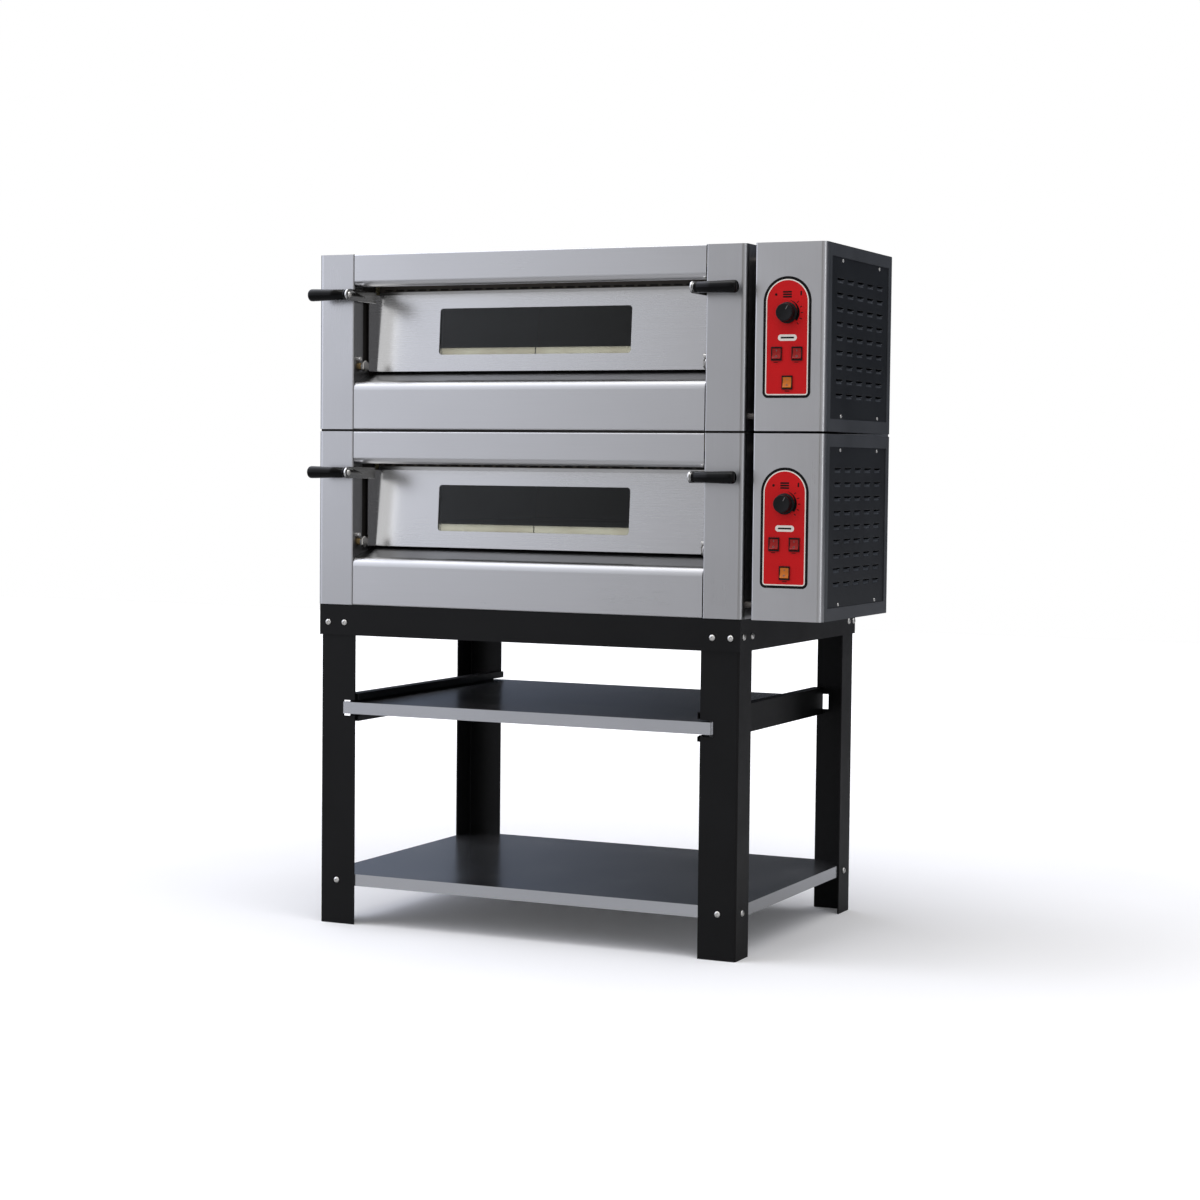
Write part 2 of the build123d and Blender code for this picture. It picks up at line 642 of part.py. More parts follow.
def make_switch_bodies():
    """Snap-in switch bodies: a bezel in front, a pocket for the rocker and terminals behind."""
    with BuildPart() as switch_bodies:
        for base in DECKS.values():
            for x, z in SWITCHES.values():
                height = base + z
                block((x - 10.5, x + 10.5), (-2.9, -LABEL_THICK), (height - 13, height + 13))
                half = (SWITCH_BODY[0] / 2, SWITCH_BODY[1] / 2)
                block((x - half[0], x + half[0]), (-LABEL_THICK, 22.0), (height - half[1], height + half[1]))
                block((x - 9.0, x + 9.0), (-2.9, 9.0), (height - 11, height + 11), Mode.SUBTRACT)
                for blade in (-6.0, 0.0, 6.0):
                    block((x - 3, x + 3), (22.0, 30.0), (height + blade - 0.4, height + blade + 0.4))
    save(switch_bodies, "switch_bodies")


def make_rocker(name, x, height):
    """Rocker with round ends about its pivot and a shallow V front, pressed in at the top."""
    tilt = radians(ROCKER_TILT)
    pivot = (OVEN_X + x - 8.6, FRONT_Y + 1.5, height)
    with BuildPart() as rocker:
        with BuildSketch(Plane(origin=pivot, x_dir=(0, cos(tilt), -sin(tilt)), z_dir=(1, 0, 0))):
            Circle(ROCKER_R)
            with BuildLine():
                Polyline((-30, -30), (-5.1, -9.3), (-3.2, 0), (-5.1, 9.3), (-30, 30), (-30, -30))
            make_face(mode=Mode.SUBTRACT)
            with Locations((20.0, 0)):
                Rectangle(28.0, 30.0, mode=Mode.SUBTRACT)
        extrude(amount=17.2)
    save(rocker, name)


def make_box_spacers():
    """Distance pieces that bolt the control boxes to the side of the decks."""
    with BuildPart() as box_spacers:
        for base in DECKS.values():
            for place in SPACER_PLACES:
                disc(side_plane(OVEN_HALF, base), place, 6.0, BOX_X[0] - OVEN_HALF)
    save(box_spacers, "box_spacers")


def make_cable_glands():
    """Cable entries at the back of the control boxes."""
    with BuildPart() as cable_glands:
        for base in DECKS.values():
            centre = (GLAND[0], base + GLAND[1])
            with BuildSketch(face_plane(BOX_DEPTH + 5.0)):
                with Locations(centre):
                    RegularPolygon(12.0, 6)
            extrude(amount=5.0)
            disc(face_plane(BOX_DEPTH + 20.0), centre, 9.5, 15.0)
            disc(face_plane(BOX_DEPTH), centre, 8.0, 10.0)
            disc(face_plane(BOX_DEPTH + 20.0), centre, 5.0, 30.0, Mode.SUBTRACT)
    save(cable_glands, "cable_glands")


# Stand

def front_bolt_places():
    """Bolt centres on the front and back of the stand."""
    places = [(side * x, FRONT_BOLT_Z) for x in FRONT_BOLT_X for side in (-1, 1)]
    return places + [(side * SHELF_BOLT_X, SHELF_BOLT_Z) for side in (-1, 1)]


def side_bolt_places():
    """Bolt centres on the sides of the stand."""
    return [(y, SIDE_BOLT_Z) for y in SIDE_BOLT_Y] + [(y, SHELF_BOLT_Z) for y in SHELF_BOLT_Y]


def stand_bolt_holes():
    """Cut every bolt hole of the stand out of the piece that is being made."""
    with BuildSketch(face_plane(0)) as front_holes:
        with Locations(front_bolt_places()):
            Circle(BOLT_R + 0.2)
    extrude(front_holes.sketch, amount=-700.0, mode=Mode.SUBTRACT)
    with BuildSketch(side_plane(-500.0)) as side_holes:
        with Locations(side_bolt_places()):
            Circle(BOLT_R + 0.2)
    extrude(side_holes.sketch, amount=1000.0, mode=Mode.SUBTRACT)


def make_legs():
    """Four folded angle legs, each notched for the sliding shelf."""
    middle = sum(LEG_Y) / 2
    with BuildPart() as legs:
        outer = (LEG_HALF, LEG_Y[0])
        outline = [(outer[0] - LEG_FLANGE[0], outer[1]), outer, (outer[0], outer[1] + LEG_FLANGE[1])]
        bent_sheet(plan_plane(0), outline, (4.0,), Side.LEFT, LEG_SHEET, STAND_TOP - 3.2)
        block((LEG_HALF - LEG_FLANGE[0], NOTCH_HALF), (LEG_Y[0], LEG_Y[0] + 3), NOTCH_Z, Mode.SUBTRACT)
        mirror(about=MIRROR)
        mirror(about=Plane(origin=(0, FRONT_Y + middle, 0), z_dir=(0, 1, 0)))
        stand_bolt_holes()
    save(legs, "legs")


def make_rails():
    """Top frame: folded front and back rails, and side rails between them."""
    outer = LEG_HALF + LEG_SHEET
    rail_z = (STAND_TOP - RAIL_HEIGHT, STAND_TOP)
    front = LEG_Y[0] - LEG_SHEET
    back = LEG_Y[1] + LEG_SHEET
    flange = (STAND_TOP - LEG_SHEET, STAND_TOP)
    with BuildPart() as cross_rails:
        block((-outer, outer), (front, LEG_Y[0]), rail_z)
        block((-LEG_HALF, LEG_HALF), (LEG_Y[0], LEG_Y[0] + RAIL_FLANGE), flange)
        block((-outer, outer), (LEG_Y[1], back), rail_z)
        block((-LEG_HALF, LEG_HALF), (LEG_Y[1] - RAIL_FLANGE, LEG_Y[1]), flange)
        stand_bolt_holes()
    save(cross_rails, "cross_rails")
    with BuildPart() as side_rails:
        block((LEG_HALF, outer), LEG_Y, rail_z)
        flange_y = (LEG_Y[0] + RAIL_FLANGE + GAP, LEG_Y[1] - RAIL_FLANGE - GAP)
        block((LEG_HALF - RAIL_FLANGE, LEG_HALF), flange_y, flange)
        mirror(about=MIRROR)
        stand_bolt_holes()
    save(side_rails, "side_rails")


def make_lower_shelf():
    """Fixed shelf: a sheet with its four edges folded down, bolted inside the legs."""
    half = LEG_HALF - LEG_SHEET - 0.2
    back = (LEG_Y[0] + LEG_SHEET + 0.2, LEG_Y[1] - LEG_SHEET - 0.2)
    with BuildPart() as lower_shelf:
        block((-half, half), back, LOWER_SHELF_Z)
        fillet(lower_shelf.edges().filter_by(Axis.Z), radius=2.5)
        inside = (back[0] + SHEET, back[1] - SHEET)
        hollow = (LOWER_SHELF_Z[0], LOWER_SHELF_Z[1] - SHEET)
        block((SHEET - half, half - SHEET), inside, hollow, Mode.SUBTRACT)
        stand_bolt_holes()
    save(lower_shelf, "lower_shelf")


def make_sliding_shelf():
    """Pull-out shelf: folded edges, with a wider front lip that stands in the legs' notches."""
    hollow = (TRAY_Z[0], TRAY_Z[1] - SHEET)
    with BuildPart() as sliding_shelf:
        block((-TRAY_HALF, TRAY_HALF), (0, TRAY_BACK), TRAY_Z)
        block((-TRAY_FRONT_HALF, TRAY_FRONT_HALF), (0, TRAY_FRONT_DEPTH), TRAY_Z)
        block((SHEET - TRAY_HALF, TRAY_HALF - SHEET), (SHEET, TRAY_BACK - SHEET), hollow, Mode.SUBTRACT)
        front = (SHEET - TRAY_FRONT_HALF, TRAY_FRONT_HALF - SHEET)
        block(front, (SHEET, TRAY_FRONT_DEPTH), hollow, Mode.SUBTRACT)
    save(sliding_shelf, "sliding_shelf")


def make_shelf_runners():
    """Lipped channels that the pull-out shelf runs in, with their glide strips."""
    low, high = RUNNER_Z
    ends = (LEG_Y[0] + LEG_SHEET + 0.2, LEG_Y[1] - LEG_SHEET - 0.2)
    wall = 1.5
    with BuildPart() as shelf_runners:
        block((RUNNER_LIP, RUNNER_WEB), ends, RUNNER_Z)
        block((RUNNER_LIP, RUNNER_WEB - wall), ends, (low + wall, high - wall), Mode.SUBTRACT)
        block((RUNNER_LIP, RUNNER_LIP + wall), ends, (high - 13.5, high))
        block((RUNNER_LIP, RUNNER_LIP + wall), ends, (low, low + 11.0))
        for tab in (ends[0], ends[1] - wall):
            block((RUNNER_WEB, 440.0), (tab, tab + wall), RUNNER_Z)
        for notch in ((ends[0], ends[0] + 6), (ends[1] - 6, ends[1])):
            block((RUNNER_LIP, NOTCH_HALF), notch, NOTCH_Z, Mode.SUBTRACT)
        glide = (low + wall + 0.1, TRAY_Z[0] - GAP)
        block((388.0, RUNNER_WEB - wall - 0.2), (ends[0] + 8, ends[1] - 8), glide)
        mirror(about=MIRROR)
    save(shelf_runners, "shelf_runners")


def make_stand_bolts():
    """Domed bolts of the stand, each through the rail or leg and closed by a nut inside."""
    leg_bolts = [(side * x, FRONT_BOLT_Z) for x in FRONT_BOLT_X for side in (-1, 1)]
    faces = [
        (face_plane(LEG_Y[0] - LEG_SHEET), leg_bolts),
        (face_plane(LEG_Y[0]), [(side * SHELF_BOLT_X, SHELF_BOLT_Z) for side in (-1, 1)]),
        (side_plane(LEG_HALF + LEG_SHEET), [(y, SIDE_BOLT_Z) for y in SIDE_BOLT_Y]),
        (side_plane(LEG_HALF), [(y, SHELF_BOLT_Z) for y in SHELF_BOLT_Y]),
    ]
    with BuildPart() as stand_bolts:
        for plane, places in faces:
            with BuildSketch(plane):
                with Locations(places):
                    Circle(6.3)
            extrude(amount=3.4, taper=22.0)
            with BuildSketch(plane):
                with Locations(places):
                    Circle(BOLT_R)
            extrude(amount=-14.0)
            with BuildSketch(plane.offset(-8.0)):
                with Locations(places):
                    RegularPolygon(6.5, 6, major_radius=False)
            extrude(amount=-4.0)
        mirror(about=MIRROR)
        middle = FRONT_Y + sum(LEG_Y) / 2
        backs = stand_bolts.solids().filter_by(lambda solid: abs(solid.center().Y - middle) > 320.0)
        mirror(backs, about=Plane(origin=(0, middle, 0), z_dir=(0, 1, 0)))
    save(stand_bolts, "stand_bolts")


for deck_name, deck_base in DECKS.items():
    make_side_panels(deck_name, deck_base)
    make_pillars(deck_name, deck_base)
    make_top_fascia(deck_name, deck_base)
    make_bottom_fascia(deck_name, deck_base)
    make_mouth_surround(deck_name, deck_base)
    make_chamber_panels(deck_name, deck_base)
    make_door_skin(deck_name, deck_base)
    make_door_inner(deck_name, deck_base)
    make_door_glass(deck_name, deck_base)
    make_door_levers(deck_name, deck_base)
    make_door_grips(deck_name, deck_base)
    make_control_front(deck_name, deck_base)
    make_control_cover(deck_name, deck_base)
    make_louvre_panel(deck_name, deck_base)
    make_knob(deck_name, deck_base)
    for switch_name, (switch_x, switch_z) in SWITCHES.items():
        make_rocker(f"{deck_name}_{switch_name}", switch_x, deck_base + switch_z)

make_top_panels()
make_base_panels()
make_back_panels()
make_baking_stones()
make_heating_elements()
make_insulation()
make_steam_outlets()
make_oven_lamps()
make_hinge_bolts()
make_hinge_bushes()
make_stop_pins()
make_panel_screws()
make_control_labels()
make_thermostats()
make_switch_bodies()
make_box_spacers()
make_cable_glands()
make_legs()
make_rails()
make_lower_shelf()
make_sliding_shelf()
make_shelf_runners()
make_stand_bolts()
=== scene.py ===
"""Double-deck pizza oven on its stand: finishes, small hardware, control panels, studio and camera."""

from math import atan2, cos, degrees, pi, radians, sin

import bmesh
import bpy
from mathutils import Matrix, Vector


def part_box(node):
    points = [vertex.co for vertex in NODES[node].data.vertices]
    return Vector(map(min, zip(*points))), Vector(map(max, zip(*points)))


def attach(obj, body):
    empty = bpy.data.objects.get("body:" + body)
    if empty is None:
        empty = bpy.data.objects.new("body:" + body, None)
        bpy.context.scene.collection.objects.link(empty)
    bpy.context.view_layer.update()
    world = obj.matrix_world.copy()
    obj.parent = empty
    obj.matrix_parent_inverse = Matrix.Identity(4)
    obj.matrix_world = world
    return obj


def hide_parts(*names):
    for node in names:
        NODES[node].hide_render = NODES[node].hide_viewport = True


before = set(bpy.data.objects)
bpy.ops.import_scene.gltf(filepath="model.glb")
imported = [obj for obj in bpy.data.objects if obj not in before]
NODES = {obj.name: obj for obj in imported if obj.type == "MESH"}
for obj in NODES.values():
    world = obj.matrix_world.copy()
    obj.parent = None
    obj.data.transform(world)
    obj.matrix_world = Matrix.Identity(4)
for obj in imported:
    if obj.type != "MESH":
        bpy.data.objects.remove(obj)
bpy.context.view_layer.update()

DECKS = ("lower", "upper")
ROCKERS = {
    "red_rocker_left": "rocker_red",
    "red_rocker_right": "rocker_red",
    "orange_rocker": "rocker_orange",
}
MM = 0.001
SCENE = bpy.context.scene


# Camera

def make_camera():
    """Camera to the right of the oven, at the height of its lower door."""
    position = (2.1585, -4.8359, 0.9494)
    yaw, pitch, roll = 0.4300, 0.0520, 0.0110
    forward = Vector((-sin(yaw) * cos(pitch), cos(yaw) * cos(pitch), -sin(pitch)))
    right = Vector((cos(yaw), sin(yaw), 0.0))
    up = right.cross(forward)
    tilted = right * cos(roll) + up * sin(roll)
    upright = up * cos(roll) - right * sin(roll)
    data = bpy.data.cameras.new("camera")
    data.lens = 75.02
    data.sensor_width = 36.0
    data.shift_x = -0.0168
    data.shift_y = -0.0032
    data.clip_end = 100.0
    camera = bpy.data.objects.new("camera", data)
    SCENE.collection.objects.link(camera)
    turn = Matrix((tilted, upright, -forward)).transposed()
    camera.matrix_world = Matrix.Translation(position) @ turn.to_4x4()
    SCENE.camera = camera


# Finishes

# Sockets of a Mix node set to colour
MIX_FIRST, MIX_SECOND, MIX_RESULT = 6, 7, 2


def set_stops(ramp, stops):
    """Give a Color Ramp node its (position, colour) stops."""
    elements = ramp.color_ramp.elements
    for index, (position, colour) in enumerate(stops):
        element = elements[index] if index < 2 else elements.new(position)
        element.position = position
        element.color = (*colour, 1.0)


class Finish:
    """A procedural material round one Principled shader, textured in object space."""

    def __init__(self, name, **values):
        self.material = bpy.data.materials.new(name)
        self.material.use_nodes = True
        self.tree = self.material.node_tree
        self.shader = self.tree.nodes["Principled BSDF"]
        self.place = self.tree.nodes.new("ShaderNodeTexCoord")
        for key, value in values.items():
            self.shader.inputs[key.replace("_", " ")].default_value = value

    def node(self, kind, **inputs):
        """New node with its inputs linked to sockets or set to values."""
        made = self.tree.nodes.new(kind)
        for key, value in inputs.items():
            target = made.inputs[key.replace("_", " ")]
            if isinstance(value, bpy.types.NodeSocket):
                self.tree.links.new(value, target)
            else:
                target.default_value = value
        return made

    def link(self, source, target):
        self.tree.links.new(source, target)

    def noise(self, scale, stretch, detail, rough=0.55):
        """Noise in object space, stretched along its axes."""
        mapping = self.node("ShaderNodeMapping", Vector=self.place.outputs["Object"], Scale=stretch)
        noise = self.node("ShaderNodeTexNoise", Scale=scale, Detail=detail, Roughness=rough)
        self.link(mapping.outputs["Vector"], noise.inputs["Vector"])
        return noise.outputs["Fac"]

    def spread(self, value, low, high, start=0.3, end=0.7):
        """Map a noise value onto a range."""
        mapped = self.node("ShaderNodeMapRange", Value=value)
        for key, number in (("From Min", start), ("From Max", end), ("To Min", low), ("To Max", high)):
            mapped.inputs[key].default_value = number
        return mapped.outputs["Result"]

    def ramp(self, value, stops):
        """Colour from a ramp."""
        ramp = self.node("ShaderNodeValToRGB", Fac=value)
        set_stops(ramp, stops)
        return ramp.outputs["Color"]

    def calculate(self, operation, *values):
        """Result of a math node on one or two values."""
        made = self.tree.nodes.new("ShaderNodeMath")
        made.operation = operation
        for value, target in zip(values, made.inputs):
            self.link(value, target)
        return made.outputs["Value"]

    def choose(self, factor, first, second):
        """First colour where the factor is zero, second colour where it is one."""
        mix = self.node("ShaderNodeMix")
        mix.data_type = "RGBA"
        self.link(factor, mix.inputs["Factor"])
        self.link(first, mix.inputs[MIX_FIRST])
        self.link(second, mix.inputs[MIX_SECOND])
        return mix.outputs[MIX_RESULT]

    def turned(self, axis, start, end, low, both_ways=False):
        """Painted light and shade: a factor on the base colour that falls from one to a low value as the
        surface turns towards an axis, so turned faces come out darker, or lighter where the low value is
        above one.
        """
        split = self.node("ShaderNodeSeparateXYZ", Vector=self.place.outputs["Normal"])
        value = split.outputs[axis]
        if both_ways:
            value = self.calculate("ABSOLUTE", value)
        return self.spread(value, 1.0, low, start, end)

    def colour(self, value, stops, factor=None):
        """Base colour from a ramp, times a factor of painted light and shade."""
        shown = self.ramp(value, stops)
        if factor:
            times = self.tree.nodes.new("ShaderNodeVectorMath")
            times.operation = "SCALE"
            self.link(shown, times.inputs["Vector"])
            self.link(factor, times.inputs["Scale"])
            shown = times.outputs["Vector"]
        self.link(shown, self.shader.inputs["Base Color"])

    def roughness(self, value):
        """Roughness from a value."""
        self.link(value, self.shader.inputs["Roughness"])

    def bump(self, value, strength, distance):
        """Fine relief from a value."""
        bump = self.node("ShaderNodeBump", Height=value, Strength=strength, Distance=distance)
        self.link(bump.outputs["Normal"], self.shader.inputs["Normal"])


def shade(colour, factor):
    """Colour times a factor."""
    return tuple(channel * factor for channel in colour)


EVEN = (1, 1, 1)


def brushed_steel(name, colour, stretch, rough=0.30, *turned):
    """Stainless sheet with fine grain one way, faint clouding from wiping, and painted shade on the faces
    that turn towards given axes.
    """
    steel = Finish(name, Metallic=1.0)
    grain = steel.noise(1.0, stretch, 4.0, 0.65)
    cloud = steel.noise(5.0, EVEN, 3.0)
    fine, broad = steel.spread(grain, -0.02, 0.02), steel.spread(cloud, rough - 0.02, rough + 0.03)
    steel.roughness(steel.calculate("ADD", fine, broad))
    factor = None
    # Painted shade: each mask darkens the colour on faces turned towards its axis.
    for mask in turned:
        painted_shade = steel.turned(*mask)
        factor = steel.calculate("MULTIPLY", factor, painted_shade) if factor else painted_shade
    steel.colour(grain, [(0.30, shade(colour, 0.985)), (0.70, shade(colour, 1.015))], factor)
    steel.bump(grain, 0.015, 0.0001)
    return steel.material


def powder_coat(name, colour, rough, level, turned=None):
    """Baked coating with a fine orange peel, and optional painted light or shade by which way the surface
    faces.
    """
    coat = Finish(name, Specular_IOR_Level=level)
    peel = coat.noise(700.0, EVEN, 2.0)
    cloud = coat.noise(9.0, EVEN, 3.0)
    fine, broad = coat.spread(peel, -0.04, 0.04), coat.spread(cloud, rough - 0.03, rough + 0.05)
    coat.roughness(coat.calculate("ADD", fine, broad))
    # Painted light or shade by facing, where one is given.
    factor = coat.turned(*turned) if turned else None
    coat.colour(cloud, [(0.30, shade(colour, 0.85)), (0.70, shade(colour, 1.15))], factor)
    coat.bump(peel, 0.10, 0.0004)
    return coat.material


def moulded_plastic(name, colour, rough, level=0.5):
    """Injection-moulded plastic with a slightly uneven sheen."""
    plastic = Finish(name, Specular_IOR_Level=level)
    cloud = plastic.noise(160.0, EVEN, 3.0)
    fine = plastic.noise(1800.0, EVEN, 2.0)
    plastic.roughness(plastic.spread(cloud, rough * 0.85, rough * 1.2))
    plastic.colour(cloud, [(0.25, shade(colour, 0.92)), (0.75, shade(colour, 1.06))])
    plastic.bump(fine, 0.05, 0.0001)
    return plastic.material


def plated_metal(name, colour, rough):
    """Zinc or brass turned part with faint tool marks and patches of dulled plating."""
    plated = Finish(name, Metallic=1.0)
    cloud = plated.noise(260.0, EVEN, 4.0)
    plated.roughness(plated.spread(cloud, rough * 0.75, rough * 1.4))
    plated.colour(cloud, [(0.25, shade(colour, 0.82)), (0.75, shade(colour, 1.08))])
    plated.bump(plated.noise(1400.0, EVEN, 2.0), 0.08, 0.0001)
    return plated.material


def printed_film(name, colour):
    """Printed polyester face film."""
    film = Finish(name, Specular_IOR_Level=0.15)
    grain = film.noise(1500.0, EVEN, 2.0)
    cloud = film.noise(30.0, EVEN, 2.0)
    film.roughness(film.spread(grain, 0.25, 0.38))
    film.colour(cloud, [(0.30, shade(colour, 0.96)), (0.70, shade(colour, 1.03))])
    film.bump(grain, 0.04, 0.0001)
    return film.material


def tinted_glass():
    """Heat-resistant door glass, slightly grey, with faint smears."""
    glass = Finish(
        "door_glass", IOR=1.34, Transmission_Weight=1.0, Base_Color=(0.38, 0.41, 0.41, 1.0),
        Specular_IOR_Level=0.12,
    )
    smear = glass.noise(14.0, (1.0, 1.0, 2.5), 4.0)
    glass.roughness(glass.spread(smear, 0.015, 0.06))
    return glass.material


def cordierite():
    """Fine-grained baking stone with toasted patches."""
    stone = Finish("stone", Specular_IOR_Level=0.25)
    patch = stone.noise(9.0, EVEN, 5.0)
    grit = stone.noise(420.0, EVEN, 3.0)
    toasted, plain, pale = (0.46, 0.40, 0.31), (0.62, 0.57, 0.47), (0.70, 0.66, 0.58)
    stone.colour(patch, [(0.25, toasted), (0.55, plain), (0.80, pale)])
    stone.roughness(stone.spread(grit, 0.80, 0.95))
    stone.bump(grit, 0.45, 0.0008)
    return stone.material


def mineral_wool():
    """Yellowish felt of long fibres."""
    wool = Finish("wool", Specular_IOR_Level=0.1)
    fibre = wool.noise(1.0, (60, 420, 420), 5.0)
    wool.colour(fibre, [(0.25, (0.35, 0.30, 0.16)), (0.75, (0.66, 0.60, 0.38))])
    wool.roughness(wool.spread(fibre, 0.85, 1.0))
    wool.bump(fibre, 0.7, 0.003)
    return wool.material


def pale_floor():
    """Matt white sweep, as painted light for the camera only: it glows a little near the oven, lifting the
    shadow there, and more far from it; to reflections and bounced light it is dim and throws back little
    light.
    """
    floor = Finish("studio_floor", Specular_IOR_Level=0.0, Emission_Color=(1.0, 1.0, 1.0, 1.0))
    cloud = floor.noise(1.2, EVEN, 2.0)
    floor.roughness(floor.spread(cloud, 0.80, 0.95))
    pale = floor.ramp(cloud, [(0.30, (0.90, 0.90, 0.90)), (0.70, (0.94, 0.94, 0.94))])
    dim = floor.ramp(cloud, [(0.30, (0.40, 0.40, 0.40)), (0.70, (0.46, 0.46, 0.46))])
    # The camera sees the pale floor; reflections and bounced light see the dim one.
    seen = floor.node("ShaderNodeLightPath").outputs["Is Camera Ray"]
    floor.link(floor.choose(seen, dim, pale), floor.shader.inputs["Base Color"])
    away = floor.node("ShaderNodeVectorMath", Vector=floor.place.outputs["Object"])
    away.operation = "LENGTH"
    # Painted light: a glow seen only by the camera, faint near the oven, where it lifts the shadow, and
    # stronger far away.
    glow = floor.spread(away.outputs["Value"], 0.045, 0.5, 1.3, 4.2)
    floor.link(floor.calculate("MULTIPLY", glow, seen), floor.shader.inputs["Emission Strength"])
    return floor.material


STEEL = (0.60, 0.60, 0.605)
# Noise scales that stretch the grain along one axis, or leave it even
GRAIN_X, GRAIN_Y, GRAIN_Z = (7.0, 900.0, 900.0), (900.0, 7.0, 900.0), (900.0, 900.0, 7.0)
GRAIN_FINE, GRAIN_COARSE = (900.0, 900.0, 900.0), (40.0, 40.0, 40.0)
FINISH = {
    "steel_across": brushed_steel("steel_across", STEEL, GRAIN_X),
    "steel_upright": brushed_steel("steel_upright", STEEL, GRAIN_Z),
    # Painted shade: pillar steel darker all over, and darker still on faces turned sideways, the walls of
    # the door recess.
    "steel_pillar": brushed_steel(
        "steel_pillar", shade(STEEL, 0.90), GRAIN_Z, 0.30, ("X", 0.6, 0.8, 0.42, True)
    ),
    # Painted shade: door steel darker on faces turned sideways, the wings beside the door's face.
    "steel_door": brushed_steel("steel_door", STEEL, GRAIN_X, 0.26, ("X", 0.6, 0.8, 0.36, True)),
    # Painted shade: sill steel darker on faces turned upwards.
    "steel_sill": brushed_steel("steel_sill", STEEL, GRAIN_X, 0.30, ("Z", 0.72, 0.95, 0.34)),
    # Painted light: shelf steel a little lighter than the rest, standing in for fill from above.
    "steel_shelf": brushed_steel("steel_shelf", (0.62, 0.63, 0.65), GRAIN_Y, 0.22),
    # Painted shade: lever steel darker on faces turned down and on faces turned sideways.
    "steel_bright": brushed_steel(
        "steel_bright", (0.66, 0.66, 0.65), GRAIN_FINE, 0.18,
        ("Z", -0.4, -0.8, 0.30), ("X", 0.6, 0.8, 0.40, True),
    ),
    "aluminised": brushed_steel("aluminised", (0.42, 0.41, 0.40), GRAIN_COARSE, 0.42),
    "stand_black": powder_coat("stand_black", (0.0048, 0.0048, 0.0050), 0.42, 0.20),
    "cover_grey": powder_coat("cover_grey", (0.058, 0.062, 0.069), 0.38, 0.45),
    # Painted highlight: louvre paint lighter on faces turned upwards, the slopes of the louvres.
    "louvre_black": powder_coat("louvre_black", (0.0140, 0.0160, 0.0190), 0.40, 0.30, ("Z", 0.1, 0.5, 3.2)),
    "mouth_black": powder_coat("mouth_black", (0.020, 0.018, 0.016), 0.60, 0.25),
    "mouth_brown": powder_coat("mouth_brown", (0.075, 0.066, 0.056), 0.55, 0.3),
    "grip_black": moulded_plastic("grip_black", (0.0015, 0.0015, 0.0017), 0.10, 0.15),
    "knob_black": moulded_plastic("knob_black", (0.0045, 0.0050, 0.0055), 0.42, 0.22),
    "switch_black": moulded_plastic("switch_black", (0.0070, 0.0062, 0.0062), 0.32, 0.25),
    "rocker_red": moulded_plastic("rocker_red", (0.33, 0.012, 0.010), 0.22, 0.30),
    "rocker_orange": moulded_plastic("rocker_orange", (0.62, 0.17, 0.020), 0.22, 0.30),
    "label_red": printed_film("label_red", (0.62, 0.010, 0.012)),
    "label_black": printed_film("label_black", (0.0040, 0.0042, 0.0042)),
    "label_cream": printed_film("label_cream", (0.86, 0.80, 0.72)),
    "mark_grey": printed_film("mark_grey", (0.17, 0.16, 0.155)),
    # Painted shade: a darker copy of zinc for the hinge bolts in the recess.
    "zinc_painted_shade": plated_metal("zinc_painted_shade", (0.40, 0.39, 0.37), 0.34),
    "zinc": plated_metal("zinc", (0.76, 0.75, 0.72), 0.30),
    "brass": plated_metal("brass", (0.72, 0.50, 0.22), 0.30),
    "heater": plated_metal("heater", (0.16, 0.15, 0.14), 0.55),
    "door_glass": tinted_glass(),
    "stone": cordierite(),
    "wool": mineral_wool(),
}

# CAD nodes that each deck has under its own name
NODE_FINISH = {
    "steel_across": ["top_fascia", "door_inner"],
    "steel_sill": ["bottom_fascia"],
    "steel_door": ["door_skin"],
    "steel_pillar": ["pillars"],
    "steel_upright": ["side_panels", "control_front"],
    "mouth_black": ["mouth_surround"],
    "aluminised": ["chamber_panels"],
    "door_glass": ["door_glass"],
    "cover_grey": ["control_cover"],
}
# CAD nodes that hold the pieces of both decks, or of the stand
SHARED_FINISH = {
    "steel_across": ["top_panels"],
    "aluminised": ["base_panels", "back_panels"],
    "steel_shelf": ["lower_shelf", "sliding_shelf"],
    "stand_black": ["legs", "cross_rails", "side_rails", "shelf_runners"],
    "stone": ["baking_stones"],
    # Painted shade: the box spacers take the dark heater finish, standing in for the shade of the gap by the
    # control boxes.
    "heater": ["heating_elements", "box_spacers"],
    "wool": ["insulation"],
    "zinc": ["steam_outlets", "stop_pins"],
    "brass": ["hinge_bushes"],
    "door_glass": ["oven_lamps"],
    "switch_black": ["thermostats", "switch_bodies", "cable_glands"],
}


def paint(node, finish):
    """Give a CAD node its finish."""
    mesh = NODES[node].data
    mesh.materials.clear()
    mesh.materials.append(FINISH[finish])


def soften(node, width):
    """Round the cut edges of a CAD node a little."""
    obj = NODES[node]
    flat = obj.modifiers.new("join_flats", "DECIMATE")
    flat.decimate_type = "DISSOLVE"
    flat.angle_limit = radians(1.0)
    bevel = obj.modifiers.new("edges", "BEVEL")
    bevel.width = width
    bevel.segments = 2
    bevel.limit_method = "ANGLE"
    bevel.angle_limit = radians(40.0)
    bevel.use_clamp_overlap = True
    bevel.harden_normals = True


# Mesh building

def finish_piece(name, bm, finish, body, sharp):
    """Turn a bmesh of closed shapes into a piece that rides on a body."""
    bmesh.ops.remove_doubles(bm, verts=bm.verts, dist=1e-7)
    bmesh.ops.recalc_face_normals(bm, faces=bm.faces)
    mesh = bpy.data.meshes.new(name)
    bm.to_mesh(mesh)
    bm.free()
    return add_piece(name, mesh, finish, body, sharp)


